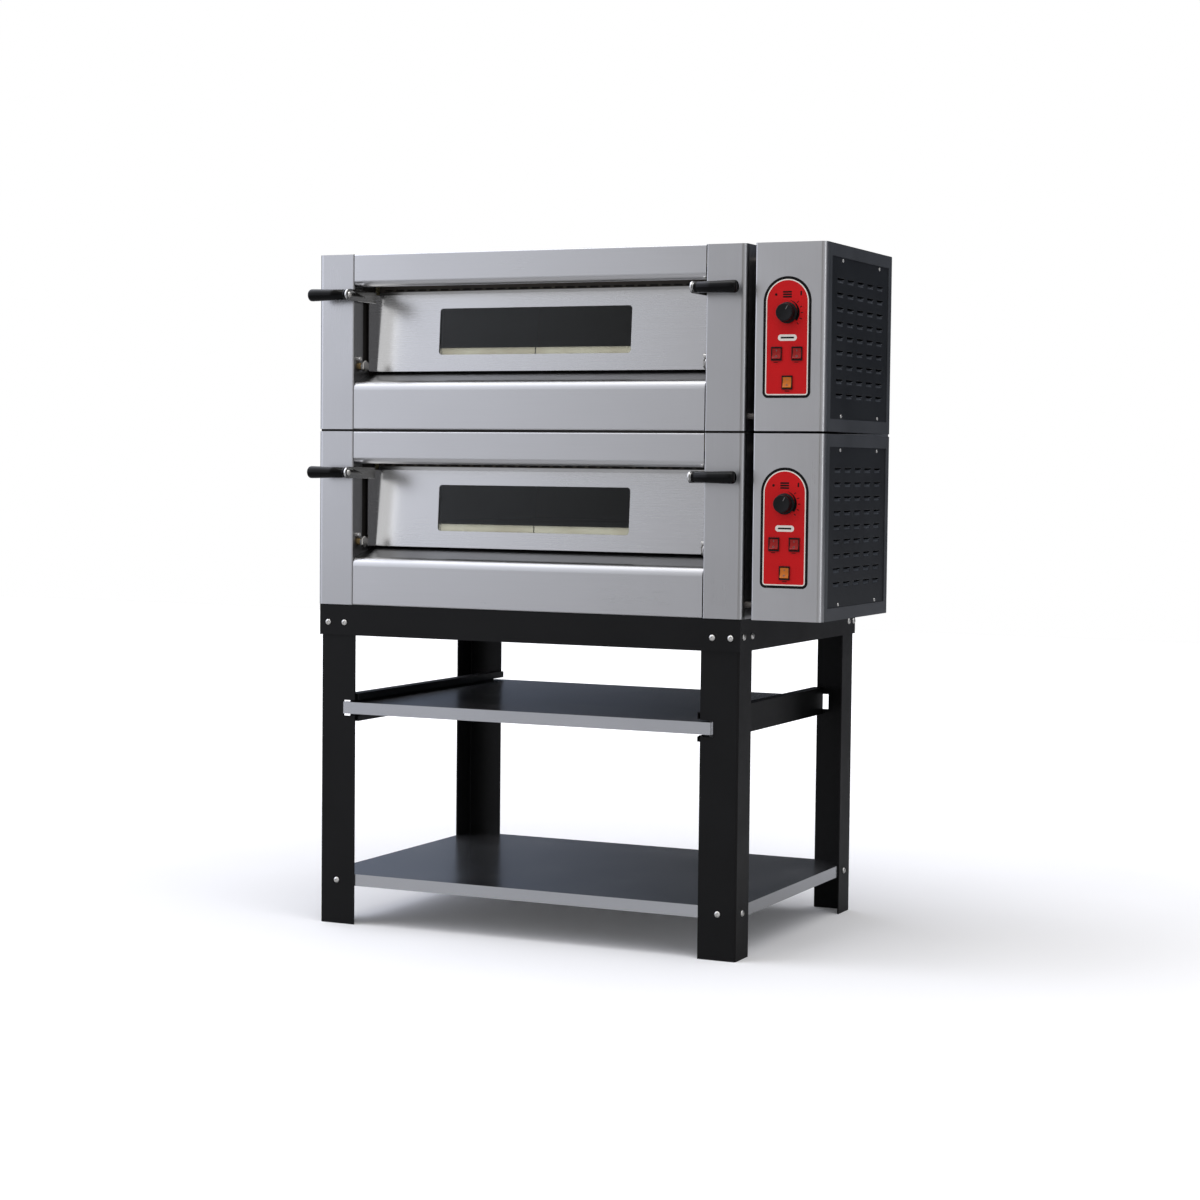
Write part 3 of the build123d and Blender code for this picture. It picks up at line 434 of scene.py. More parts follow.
def add_piece(name, mesh, finish, body, sharp=35.0):
    """Smooth-shaded piece that rides on a body, with edges sharper than an angle kept."""
    mesh.materials.clear()
    mesh.materials.append(FINISH[finish])
    mesh.shade_smooth()
    mesh.set_sharp_from_angle(angle=radians(sharp))
    obj = bpy.data.objects.new(name, mesh)
    SCENE.collection.objects.link(obj)
    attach(obj, body)
    return obj


def facing(origin, axis, spin=0.0):
    """Placement whose Z runs along an axis from a point."""
    turn = Vector(axis).to_track_quat("Z", "Y").to_matrix().to_4x4()
    return Matrix.Translation(origin) @ turn @ Matrix.Rotation(spin, 4, "Z")


def lathe(bm, profile, place, steps, wave=None):
    """Turn (radius, height) pairs round Z, from the axis to the axis."""
    rings = []
    for radius, height in profile:
        if radius < 1e-9:
            rings.append([bm.verts.new(place @ Vector((0, 0, height)))])
            continue
        ring = []
        for step in range(steps):
            angle = 2 * pi * step / steps
            reach = radius + (wave(angle, height) if wave else 0.0)
            ring.append(bm.verts.new(place @ Vector((reach * cos(angle), reach * sin(angle), height))))
        rings.append(ring)
    for low, high in zip(rings, rings[1:]):
        for step in range(steps):
            corners = [low[step % len(low)], low[(step + 1) % len(low)]]
            corners += [high[(step + 1) % len(high)], high[step % len(high)]]
            corners = list(dict.fromkeys(corners))
            if len(corners) > 2:
                bm.faces.new(corners)


def in_mm(profile):
    """Profile given in millimetres, in metres."""
    return [(radius * MM, height * MM) for radius, height in profile]


def arc(centre, radius, start, end, steps):
    """Points of an arc, angles in degrees."""
    points = []
    for step in range(steps + 1):
        angle = radians(start + (end - start) * step / steps)
        points.append((centre[0] + radius * cos(angle), centre[1] + radius * sin(angle)))
    return points


def prism(bm, outline, place, low, high, edge=0.0):
    """Closed prism over an outline, with the edges of both ends rounded."""
    under = [bm.verts.new(place @ Vector((x, y, low))) for x, y in outline]
    over = [bm.verts.new(place @ Vector((x, y, high))) for x, y in outline]
    faces = [bm.faces.new(under[::-1]), bm.faces.new(over)]
    count = len(outline)
    for index in range(count):
        after = (index + 1) % count
        faces.append(bm.faces.new((under[index], under[after], over[after], over[index])))
    if edge:
        rims = list(dict.fromkeys(rim for face in faces[:2] for rim in face.edges))
        rounding = {"segments": 2, "profile": 0.5, "affect": "EDGES", "clamp_overlap": True}
        bmesh.ops.bevel(bm, geom=rims, offset=edge, **rounding)


def sheet_piece(name, loops, place, low, high, finish, body, slot=None):
    """Flat piece between two heights, filled inside its outer loop and open in its inner ones."""
    data = bpy.data.curves.new(name, "CURVE")
    data.dimensions = "2D"
    data.fill_mode = "BOTH"
    data.extrude = (high - low) / 2
    for loop in loops:
        spline = data.splines.new("POLY")
        spline.points.add(len(loop) - 1)
        for point, (x, y) in zip(spline.points, loop):
            point.co = (x, y, 0.0, 1.0)
        spline.use_cyclic_u = True
    carrier = bpy.data.objects.new(name + "_outline", data)
    SCENE.collection.objects.link(carrier)
    bpy.context.view_layer.update()
    filled = carrier.evaluated_get(bpy.context.evaluated_depsgraph_get())
    mesh = bpy.data.meshes.new_from_object(filled)
    bpy.data.objects.remove(carrier)
    mesh.transform(place @ Matrix.Translation((0, 0, (high + low) / 2)))
    mesh.name = name
    return add_piece(name, mesh, finish, body)


def islands(node):
    """Boxes (low, high) of the separate solids of a CAD node."""
    mesh = NODES[node].data
    parent = {}

    def root(key):
        while parent[key] != key:
            parent[key] = parent[parent[key]]
            key = parent[key]
        return key

    keys = [tuple(round(value * 1e5) for value in vertex.co) for vertex in mesh.vertices]
    for key in keys:
        parent.setdefault(key, key)
    for polygon in mesh.polygons:
        first = root(keys[polygon.vertices[0]])
        for index in polygon.vertices[1:]:
            parent[root(keys[index])] = first
    groups = {}
    for key, vertex in zip(keys, mesh.vertices):
        groups.setdefault(root(key), []).append(vertex.co)
    boxes = []
    for points in groups.values():
        low = Vector([min(point[axis] for point in points) for axis in range(3)])
        high = Vector([max(point[axis] for point in points) for axis in range(3)])
        boxes.append((low, high))
    return sorted(boxes, key=lambda pair: tuple(round(value, 4) for value in (*pair[0], *pair[1])))


def middle(pair):
    """Centre of a (low, high) box."""
    return (pair[0] + pair[1]) / 2


def side_of(pair, whole):
    """1 for a box on the right of a whole's middle, -1 on its left."""
    return 1.0 if middle(pair).x > middle(whole).x else -1.0


def circle(centre, radius, steps):
    """Closed loop of points round a centre."""
    return [
        (centre[0] + radius * cos(2 * pi * k / steps), centre[1] + radius * sin(2 * pi * k / steps))
        for k in range(steps)
    ]


def box_loop(centre, width, height, corner=0.0, steps=5):
    """Rectangle with rounded corners."""
    half_w, half_h = width / 2 - corner, height / 2 - corner
    ends = [(half_w, half_h), (-half_w, half_h), (-half_w, -half_h), (half_w, -half_h)]
    if corner <= 0:
        return [(centre[0] + x, centre[1] + y) for x, y in ends]
    points = []
    for quarter, (x, y) in enumerate(ends):
        for step in range(steps + 1):
            angle = (quarter + step / steps) * pi / 2
            points.append((centre[0] + x + corner * cos(angle), centre[1] + y + corner * sin(angle)))
    return points


# Door hardware

def make_grips():
    """Glossy tapered grips, each with a bead at its inner end."""
    for deck in DECKS:
        bm = bmesh.new()
        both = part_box(f"{deck}_door_grips")
        for low, high in islands(f"{deck}_door_grips"):
            centre = middle((low, high))
            outward = side_of((low, high), both)
            length = high.x - low.x
            widest = (high.z - low.z) / 2 - 0.06 * MM
            start = Vector((low.x if outward > 0 else high.x, centre.y, centre.z))
            slim = widest - 2.0 * MM
            rim, nose = 1.4 * MM, 6.0 * MM
            neck = slim - 0.9 * MM
            profile = [(0.0, 0.0), (slim - rim, 0.0)]
            profile += arc((slim - rim, rim), rim, -90, 0, 4)
            profile += [(slim, 4.0 * MM), (neck, 5.0 * MM), (neck, 5.6 * MM)]
            profile += [(slim + 0.1 * MM, 6.8 * MM), (slim + 0.7 * MM, length * 0.40)]
            profile += [(widest - 0.25 * MM, length * 0.78), (widest, length - 9.0 * MM)]
            profile += arc((widest - nose, length - nose), nose, 0, 76, 7)
            profile += [(0.0, length)]
            lathe(bm, profile, facing(start, (outward, 0, 0)), 48)
        grips = finish_piece(f"{deck}_grips", bm, "grip_black", f"{deck}_door", 50)
        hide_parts(f"{deck}_door_grips")


def make_levers():
    """Polished arms with rounded ends, each with a collar for the grip and a socket screw inside."""
    screw_high, collar_long = 3.0 * MM, 2.0 * MM
    for deck in DECKS:
        bm = bmesh.new()
        screws = bmesh.new()
        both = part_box(f"{deck}_door_levers")
        for low, high in islands(f"{deck}_door_levers"):
            outward = side_of((low, high), both)
            radius = (high.z - low.z) / 2
            front = low.y + radius
            height = (low.z + high.z) / 2
            arm_inside = low.x + screw_high if outward > 0 else high.x - screw_high
            arm_thick = high.x - low.x - screw_high - collar_long
            place = facing(Vector((arm_inside, 0, 0)), (outward, 0, 0))
            side = place.inverted()
            outline = arc((front, height), radius, 90, 270, 16)
            outline += [(high.y, height - radius), (high.y, height + radius)]
            flat = [side @ Vector((arm_inside, y, z)) for y, z in outline]
            prism(bm, [(point.x, point.y) for point in flat], place, 0.0, arm_thick, 0.7 * MM)
            centre = Vector((arm_inside, front, height))
            rim = arm_thick + collar_long
            collar = [(0.0, 3.0 * MM), (9.5 * MM, 3.0 * MM), (9.5 * MM, rim - 0.5 * MM)]
            collar += [(9.0 * MM, rim), (0.0, rim)]
            lathe(bm, collar, facing(centre, (outward, 0, 0)), 40)
            head = [(0.0, 0.0), (6.0, 0.0), (6.0, 0.6), (5.6, 1.4), (4.6, 2.3), (3.0, 2.9)]
            head += [(2.0, 3.0), (2.0, 1.5), (0.0, 1.2)]
            lathe(screws, in_mm(head), facing(centre, (-outward, 0, 0)), 36)
        # The arms carry painted shade on their faces turned down or sideways.
        levers = finish_piece(f"{deck}_levers", bm, "steel_bright", f"{deck}_door", 30)
        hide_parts(f"{deck}_door_levers")
        finish_piece(f"{deck}_lever_screws", screws, "zinc", f"{deck}_door", 30)


def hexagon(across_flats):
    """Loop of a hexagon."""
    return circle((0.0, 0.0), across_flats / 2 / cos(pi / 6), 6)


def make_hinge_bolts():
    """Hexagon bolts with a chamfered head, a washer and a threaded end in its nut."""
    longest_nut = 12.0 * MM
    bm = bmesh.new()
    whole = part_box("hinge_bolts")
    for low, high in islands("hinge_bolts"):
        centre = middle((low, high))
        outward = side_of((low, high), whole)
        inner = low.x if outward > 0 else high.x
        flats = high.y - low.y
        length = high.x - low.x
        place = facing(Vector((inner, centre.y, centre.z)), (outward, 0, 0), pi / 6)
        if length > longest_nut:
            prism(bm, hexagon(flats * 0.985), place, 0.0, 3.4 * MM, 0.5 * MM)
            washer = [(0.0, 3.2), (9.4, 3.2), (9.8, 3.4), (9.8, 3.9), (0.0, 4.0)]
            lathe(bm, in_mm(washer), place, 36)
            crest, root, pitch = 4.9 * MM, 4.3 * MM, 1.5 * MM
            depth = 3.6 * MM
            shank = [(0.0, depth)]
            while depth < length - 2.0 * MM:
                shank += [(crest, depth), (root, depth + pitch / 2)]
                depth += pitch
            shank += [(root, length - 0.6 * MM), (3.7 * MM, length), (0.0, length)]
            lathe(bm, shank, place, 28)
        else:
            prism(bm, hexagon(flats * 0.985), place, 0.0, length, 0.5 * MM)
    # Painted shade: the bolts take a darker zinc, standing in for the shade of the recess they sit in.
    bolts = finish_piece("hinge_bolts_detail", bm, "zinc_painted_shade", "frame", 28)
    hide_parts("hinge_bolts")


# Stand hardware

def outward_axis(pair, whole):
    """Direction in which a bolt through the stand's sheets points out."""
    size = pair[1] - pair[0]
    if size.x > size.y:
        return Vector((side_of(pair, whole), 0, 0))
    return Vector((0, 1.0 if middle(pair).y > middle(whole).y else -1.0, 0))


def make_stand_bolts():
    """Button-head bolts with a hexagon socket, and flanged nuts behind."""
    bm = bmesh.new()
    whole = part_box("stand_bolts")
    for pair in islands("stand_bolts"):
        axis = outward_axis(pair, whole)
        centre = middle(pair)
        length = max(pair[1].x - pair[0].x, pair[1].y - pair[0].y)
        tip = centre + axis * (length / 2)
        seat = tip - axis * 3.4 * MM
        place = facing(seat, axis, 0.4)
        head = [(0.0, 0.0), (6.3, 0.0), (6.3, 0.5), (6.05, 1.2), (5.5, 1.9), (4.7, 2.55), (3.7, 3.1)]
        head += [(2.9, 3.35), (2.45, 3.35), (2.3, 3.15), (2.3, 1.3), (0.0, 0.9)]
        lathe(bm, in_mm(head), place, 36)
        back = facing(seat, -axis, 0.2)
        shank = [(0.0, -0.2), (3.9, -0.2), (3.9, 13.2), (3.2, 14.0), (0.0, 14.0)]
        lathe(bm, in_mm(shank), back, 20)
        prism(bm, hexagon(12.8 * MM), back, 8.0 * MM, 12.0 * MM, 0.4 * MM)
    bolts = finish_piece("stand_bolts_detail", bm, "zinc", "frame", 28)
    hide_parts("stand_bolts")


def make_panel_screws():
    """Small cross-recessed screws of the louvre panels."""
    bm = bmesh.new()
    for low, high in islands("panel_screws"):
        centre = middle((low, high))
        place = facing(Vector((low.x, centre.y, centre.z)), (1, 0, 0))
        radius = (high.z - low.z) / 2
        top = high.x - low.x
        head = [(0.0, 0.0), (radius, 0.0), (radius, top * 0.25), (radius * 0.86, top * 0.72)]
        head += [(radius * 0.55, top), (radius * 0.34, top), (radius * 0.26, top * 0.35), (0.0, top * 0.2)]
        lathe(bm, head, place, 28)
    screws = finish_piece("panel_screws_detail", bm, "zinc", "frame", 40)
    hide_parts("panel_screws")


# Control boxes

def ease(value):
    """Smooth step from zero to one."""
    value = min(max(value, 0.0), 1.0)
    return value * value * (3 - 2 * value)


def louvre_lines(low, high, centre, count, pitch, steps, margin):
    """Grid lines of one direction: (place, (louvre, share of it) or None between louvres)."""
    lines = [(low, None), (low + 3.0 * margin, None)]
    for index in range(count):
        start = centre + (index - (count - 1) / 2) * pitch - steps[-1] / 2
        lines.append((start - margin, None))
        lines += [(start + step, (index, step / steps[-1])) for step in steps]
        lines.append((start + steps[-1] + margin, None))
    lines += [(high - 3.0 * margin, None), (high, None)]
    return lines


def make_louvre_panel(deck):
    """Painted sheet with rows of louvres pressed inwards, each open along its upper edge."""
    low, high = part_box(f"{deck}_louvre_panel")
    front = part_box(f"{deck}_control_front")[0]
    wide, tall, gap, deep = 37.0 * MM, 9.5 * MM, 2.8 * MM, 3.8 * MM
    columns, column_pitch, rows, row_pitch = 5, 57.5 * MM, 9, 27.2 * MM
    centre_y, centre_z = front.y + 198.5 * MM, front.z + 176.7 * MM
    margin = 0.5 * MM
    end_share = 0.18
    shares = (0.0, 0.03, 0.07, 0.12, end_share, 0.34, 0.5, 0.66, 1 - end_share, 0.88, 0.93, 0.97, 1.0)
    steps_y = [wide * share for share in shares]
    slope = tall - gap
    steps_z = [slope * share for share in (0.0, 0.1, 0.25, 0.45, 0.7, 1.0)] + [tall]
    lines_y = louvre_lines(low.y, high.y, centre_y, columns, column_pitch, steps_y, margin)
    lines_z = louvre_lines(low.z, high.z, centre_z, rows, row_pitch, steps_z, margin)
    crest = slope / tall

    bm = bmesh.new()
    grid = {}
    for i, (y, across) in enumerate(lines_y):
        for j, (z, up) in enumerate(lines_z):
            sink = 0.0
            if across and up and up[1] <= crest + 1e-6:
                from_end = min(across[1], 1 - across[1])
                sink = deep * ease(from_end / end_share) * ease(up[1] / crest) ** 0.8
            grid[i, j] = bm.verts.new((high.x - sink, y, z))
    for i in range(len(lines_y) - 1):
        for j in range(len(lines_z) - 1):
            across, up = (lines_y[i][1], lines_y[i + 1][1]), (lines_z[j][1], lines_z[j + 1][1])
            inside = all(across) and all(up) and across[0][0] == across[1][0] and up[0][0] == up[1][0]
            if inside and up[1][1] == 1.0:
                continue
            bm.faces.new([grid[i, j], grid[i + 1, j], grid[i + 1, j + 1], grid[i, j + 1]])
    bmesh.ops.recalc_face_normals(bm, faces=bm.faces)
    if sum(face.normal.x for face in bm.faces) < 0:
        bmesh.ops.reverse_faces(bm, faces=bm.faces)
    mesh = bpy.data.meshes.new(f"{deck}_louvres")
    bm.to_mesh(mesh)
    bm.free()
    # The louvre finish paints a highlight on the upward slopes.
    panel = add_piece(f"{deck}_louvres", mesh, "louvre_black", "frame", 28)
    shell = panel.modifiers.new("sheet", "SOLIDIFY")
    shell.thickness = 1.1 * MM
    shell.offset = -1.0
    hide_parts(f"{deck}_louvre_panel")


def label_loop(width, bottom, top, inset):
    """Outline of a label: straight below, half round above."""
    half = width / 2 - inset
    corner = max(11.0 * MM - inset, 1.0 * MM)
    foot = bottom + inset + corner
    points = arc((0.0, top - width / 2), half, 0, 180, 40)
    points += arc((corner - half, foot), corner, 180, 270, 7)
    points += arc((half - corner, foot), corner, 270, 360, 7)
    return points


def bar(centre, width, height, turn=0.0):
    """Rounded bar turned about its centre."""
    loop = box_loop((0, 0), width, height, min(width, height) * 0.35, 3)
    across, up = cos(turn), sin(turn)
    return [(centre[0] + x * across - y * up, centre[1] + x * up + y * across) for x, y in loop]


def label_marks(knob, switches, badge):
    """Loops of the printed marks: crescent, scale ticks and signs round the knob and switches."""
    steps = 24
    crescent = arc(knob, 24.0 * MM, 78, -40, steps)
    for step in range(steps + 1):
        angle = radians(-40 + 118 * step / steps)
        inner = (23.4 - 4.6 * sin(pi * (1 - step / steps) * 0.5)) * MM
        crescent.append((knob[0] + inner * cos(angle), knob[1] + inner * sin(angle)))
    marks = [crescent]
    tick_reach = 28.5 * MM
    for angle in (45, 22.5, 0, -22.5, -45):
        turn = radians(angle)
        at = (knob[0] + tick_reach * cos(turn), knob[1] + tick_reach * sin(turn))
        marks.append(bar(at, 5.0 * MM, 1.6 * MM, turn))
    sign = knob[1] + 34.5 * MM
    for row in (-4.6, 0.0, 4.6):
        marks.append(bar((knob[0] - 1.0 * MM, sign + row * MM), 18.0 * MM, 3.2 * MM))
    marks.append(circle((knob[0] - 23.5 * MM, sign), 2.5 * MM, 20))
    marks.append(bar((knob[0] + 26.5 * MM, sign + 1.5 * MM), 3.2 * MM, 8.5 * MM))
    red_left, red_right, orange = switches
    for at in (red_left, red_right):
        marks.append(bar((at[0] - 1.5 * MM, at[1] - 16.0 * MM), 8.0 * MM, 1.4 * MM))
    marks.append(bar((orange[0], orange[1] - 16.2 * MM), 9.0 * MM, 1.6 * MM))
    marks.append(badge)
    return marks


def make_label(deck):
    """Face label: black border, cream keyline and plain marks. Returns its red field."""
    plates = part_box("control_labels")
    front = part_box(f"{deck}_control_front")
    width = plates[1].x - plates[0].x
    bottom = plates[0].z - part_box("lower_control_front")[0].z
    top = plates[1].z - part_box("upper_control_front")[0].z
    centre_x = middle(plates).x
    place = facing(Vector((centre_x, front[0].y, front[0].z)), (0, -1, 0))
    turned = place.inverted() @ Vector((centre_x + 1.0, front[0].y, front[0].z))
    place = place @ Matrix.Rotation(atan2(turned.y, turned.x), 4, "Z")
    knob = middle(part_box(f"{deck}_knob"))
    knob_at = (knob.x - centre_x, knob.z - front[0].z)
    switches = []
    for name in ROCKERS:
        at = middle(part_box(f"{deck}_{name}"))
        switches.append((at.x - centre_x, at.z - front[0].z))
    thick = front[0].y - plates[0].y
    border, keyline = 5.2 * MM, 7.4 * MM
    outer, edge, field = (label_loop(width, bottom, top, inset) for inset in (0.0, border, keyline))
    holes = [circle(knob_at, 5.4 * MM, 24)] + [box_loop(at, 19.3 * MM, 24.3 * MM) for at in switches]
    film = (place, 0.0, thick)
    sheet_piece(f"{deck}_label_border", [outer, edge], *film, "label_black", "frame", "label")
    sheet_piece(f"{deck}_label_keyline", [edge, field], *film, "label_cream", "frame", "label")
    red = sheet_piece(f"{deck}_label_field", [field] + holes, *film, "label_red", "frame", "label")

    ink = (place, thick, thick + 0.05 * MM)
    badge_at = (knob_at[0], knob_at[1] - 46.5 * MM)
    stroke = bar(badge_at, 27.0 * MM, 3.2 * MM)
    marks = label_marks(knob_at, switches, stroke)
    sheet_piece(f"{deck}_label_marks", marks, *ink, "label_black", "frame", "label")
    badge = [box_loop(badge_at, 38.0 * MM, 12.0 * MM, 5.9 * MM, 8), stroke]
    sheet_piece(f"{deck}_label_badge", badge, *ink, "label_cream", "frame", "label")
    return red


def make_knob(deck):
    """Thermostat knob: skirt, finely ribbed body, dished face with a grey pointer."""
    low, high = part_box(f"{deck}_knob")
    centre = middle((low, high))
    radius = (high.z - low.z) / 2
    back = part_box("control_labels")[0].y - 0.9 * MM
    place = facing(Vector((centre.x, back, centre.z)), (0, -1, 0))
    tall = back - low.y
    rib_count, rib_deep = 36, 0.35 * MM

    def ribs(angle, height):
        if height < 5.6 * MM or height > tall - 1.2 * MM:
            return 0.0
        return -rib_deep * (0.5 + 0.5 * cos(angle * rib_count))

    bm = bmesh.new()
    profile = [(0.0, 0.0), (radius - 0.6 * MM, 0.0), (radius, 0.6 * MM), (radius, 3.2 * MM)]
    profile += arc((radius - 1.2 * MM, 3.2 * MM), 1.2 * MM, 0, 90, 4)
    profile += in_mm([(18.0, 4.6), (17.6, 5.0), (17.5, 6.0)])
    profile += [(17.1 * MM, tall * 0.55), (16.7 * MM, tall - 2.2 * MM)]
    profile += arc((15.4 * MM, tall - 1.3 * MM), 1.3 * MM, 10, 90, 4)
    profile += [(13.2 * MM, tall - 0.25 * MM), (9.0 * MM, tall - 0.7 * MM), (0.0, tall - 0.9 * MM)]
    lathe(bm, profile, place, 4 * rib_count, ribs)
    spindle = [(0.0, 0.2), (2.9, 0.2), (2.9, -12.5), (2.4, -13.0), (0.0, -13.0)]
    lathe(bm, in_mm(spindle), place, 24)
    knob = finish_piece(f"{deck}_knob_detail", bm, "knob_black", f"{deck}_knob_body", 35)
    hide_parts(f"{deck}_knob")

    pointer = bmesh.new()
    turn = radians(30)
    across = Vector((cos(turn), 0, -sin(turn)))
    along = Vector((sin(turn), 0, cos(turn)))
    face = Matrix((across, along, Vector((0, -1, 0)))).transposed().to_4x4()
    face = Matrix.Translation((centre.x, back, centre.z)) @ face
    stripe = box_loop((0, 10.6 * MM), 1.3 * MM, 8.6 * MM, 0.6 * MM, 4)
    prism(pointer, stripe, face, tall - 1.4 * MM, tall - 0.12 * MM, 0.15 * MM)
    finish_piece(f"{deck}_knob_pointer", pointer, "mark_grey", f"{deck}_knob_body", 35)


def make_rocker(deck, name, finish):
    """Rocker with a hollowed front, rounded edges and a plain bar and ring."""
    node = f"{deck}_{name}"
    low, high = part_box(node)
    width = high.x - low.x
    reach = 10.6 * MM
    pivot = Vector((low.x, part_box(f"{deck}_control_front")[0].y + 1.5 * MM, (low.z + high.z) / 2))
    tilt = radians(6.0)
    outward = Vector((0, -cos(tilt), sin(tilt)))
    upward = Vector((0, sin(tilt), cos(tilt)))
    place = Matrix.Translation(pivot) @ Matrix((outward, upward, Vector((1, 0, 0)))).transposed().to_4x4()
    tip_out, tip_up = 5.1, 9.3
    outline = arc((0.0, 0.0), reach, degrees(atan2(tip_up, tip_out)), 128, 10)
    outline += [(x, -y) for x, y in outline[::-1]]
    for step in range(1, 12):
        share = step / 6 - 1
        outline.append(((3.35 + 1.75 * share ** 2) * MM, tip_up * share * MM))
    bm = bmesh.new()
    prism(bm, outline, place, 0.0, width, 0.45 * MM)
    rocker = finish_piece(f"{node}_detail", bm, finish, f"{node}_body", 40)
    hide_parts(node)

    signs = bmesh.new()
    marks = Matrix.Translation(pivot + Vector((width / 2, 0, 0)))
    marks = marks @ Matrix((Vector((1, 0, 0)), upward, outward)).transposed().to_4x4()
    sunk, face, from_pivot = 2.6, 4.45, 5.4 * MM
    stroke = box_loop((0, from_pivot), 0.9 * MM, 3.6 * MM, 0.3 * MM, 3)
    prism(signs, stroke, marks, sunk * MM, face * MM)
    ring = [(1.3, sunk), (2.0, sunk), (2.0, face), (1.3, face), (1.3, sunk)]
    lathe(signs, in_mm(ring), marks @ Matrix.Translation((0, -from_pivot, 0)), 28)
    finish_piece(f"{node}_signs", signs, "mark_grey", f"{node}_body", 35)


# Mouths

# How far the plates round a mouth lean back, and how thick they are
MOUTH_LEAN = radians(3.9)
MOUTH_SHEET = 2.0 * MM


def mouth_plane(deck):
    """Placement on the face of the plates round the mouth: X across, Y up the plates from their top edge."""
    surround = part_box(f"{deck}_mouth_surround")
    up = Vector((0, sin(MOUTH_LEAN), cos(MOUTH_LEAN)))
    out = Vector((0, -cos(MOUTH_LEAN), sin(MOUTH_LEAN)))
    back_top = Vector((middle(surround).x, surround[1].y, surround[1].z - MOUTH_SHEET * sin(MOUTH_LEAN)))
    turn = Matrix((Vector((1, 0, 0)), up, out)).transposed().to_4x4()
    return Matrix.Translation(back_top + out * MOUTH_SHEET) @ turn


def up_mouth(place, z):
    """Distance up a mouth's plane at which a height lies."""
    return (z - place.translation.z) / cos(MOUTH_LEAN)


def make_vent_strip(deck):
    """Steel header above the door, and the slotted strip between it and the fascia's lip."""
    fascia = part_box(f"{deck}_top_fascia")
    place = mouth_plane(deck)
    door_top = up_mouth(place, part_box(f"{deck}_door_skin")[1].z)
    half = (fascia[1].x - fascia[0].x) / 2 - 1.0 * MM
    sheet = (place, 0.3 * MM, 0.9 * MM)
    header = [box_loop((0, door_top - 1.0 * MM), 2 * half, 16.0 * MM)]
    sheet_piece(f"{deck}_header", header, *sheet, "steel_across", "frame", "stainless")
    loops = [box_loop((0, door_top + 14.0 * MM), 2 * half, 14.0 * MM)]
    pitch, end_gap = 26.0 * MM, 12.0 * MM
    count = int(half / pitch)
    for index in range(-count, count + 1):
        x = index * pitch
        if abs(x) < half - end_gap:
            loops.append(box_loop((x, door_top + 10.5 * MM), 19.0 * MM, 3.4 * MM, 1.6 * MM, 4))
    sheet_piece(f"{deck}_vent_strip", loops, *sheet, "mouth_brown", "frame", "dark_paint")


def deck_stones(deck):
    """Boxes of the stones whose top shows through a deck's door glass."""
    low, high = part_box(f"{deck}_door_glass")
    return [pair for pair in islands("baking_stones") if low.z < pair[1].z < high.z]


def make_stone_edges(deck):
    """Front edges of the stones, which show above the mouth's lower plate."""
    place = mouth_plane(deck)
    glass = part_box(f"{deck}_door_glass")
    foot = up_mouth(place, glass[0].z)
    past_glass, gap = 8.0 * MM, 1.6 * MM
    for index, (low, high) in enumerate(deck_stones(deck)):
        left = max(low.x, glass[0].x - past_glass) - place.translation.x
        right = min(high.x, glass[1].x + past_glass) - place.translation.x
        head = up_mouth(place, high.z)
        width = right - left - gap
        edge = [box_loop(((left + right) / 2, (foot + head) / 2), width, head - foot, 0.8 * MM, 2)]
        sheet_piece(f"{deck}_stone_edge_{index + 1}", edge, place, 0.1 * MM, 1.6 * MM, "stone", "frame")


def make_deck_joint():
    """Dark packing in the joint between the two decks, set back from the sheets round it."""
    low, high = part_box("upper_pillars")
    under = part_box("lower_pillars")[1].z
    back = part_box("upper_side_panels")[1].y
    place = Matrix.Translation((middle((low, high)).x, (low.y + back) / 2, 0.0))
    width, depth, corner, overlap = high.x - low.x, back - low.y, 4.0 * MM, 0.6 * MM
    outer = box_loop((0, 0), width - 5.0 * MM, depth - 9.0 * MM, corner)
    inner = box_loop((0, 0), width - 60.0 * MM, depth - 64.0 * MM, corner)
    ring = ([outer, inner], place, under - overlap, low.z + overlap)
    sheet_piece("deck_joint", *ring, "mouth_black", "frame", "dark_paint")


# Studio

def make_floor():
    """Flat sheet under the stand."""
    bm = bmesh.new()
    bmesh.ops.create_grid(bm, x_segments=24, y_segments=24, size=9.0)
    mesh = bpy.data.meshes.new("studio_floor")
    bm.to_mesh(mesh)
    bm.free()
    floor = bpy.data.objects.new("studio_floor", mesh)
    SCENE.collection.objects.link(floor)
    mesh.materials.append(pale_floor())


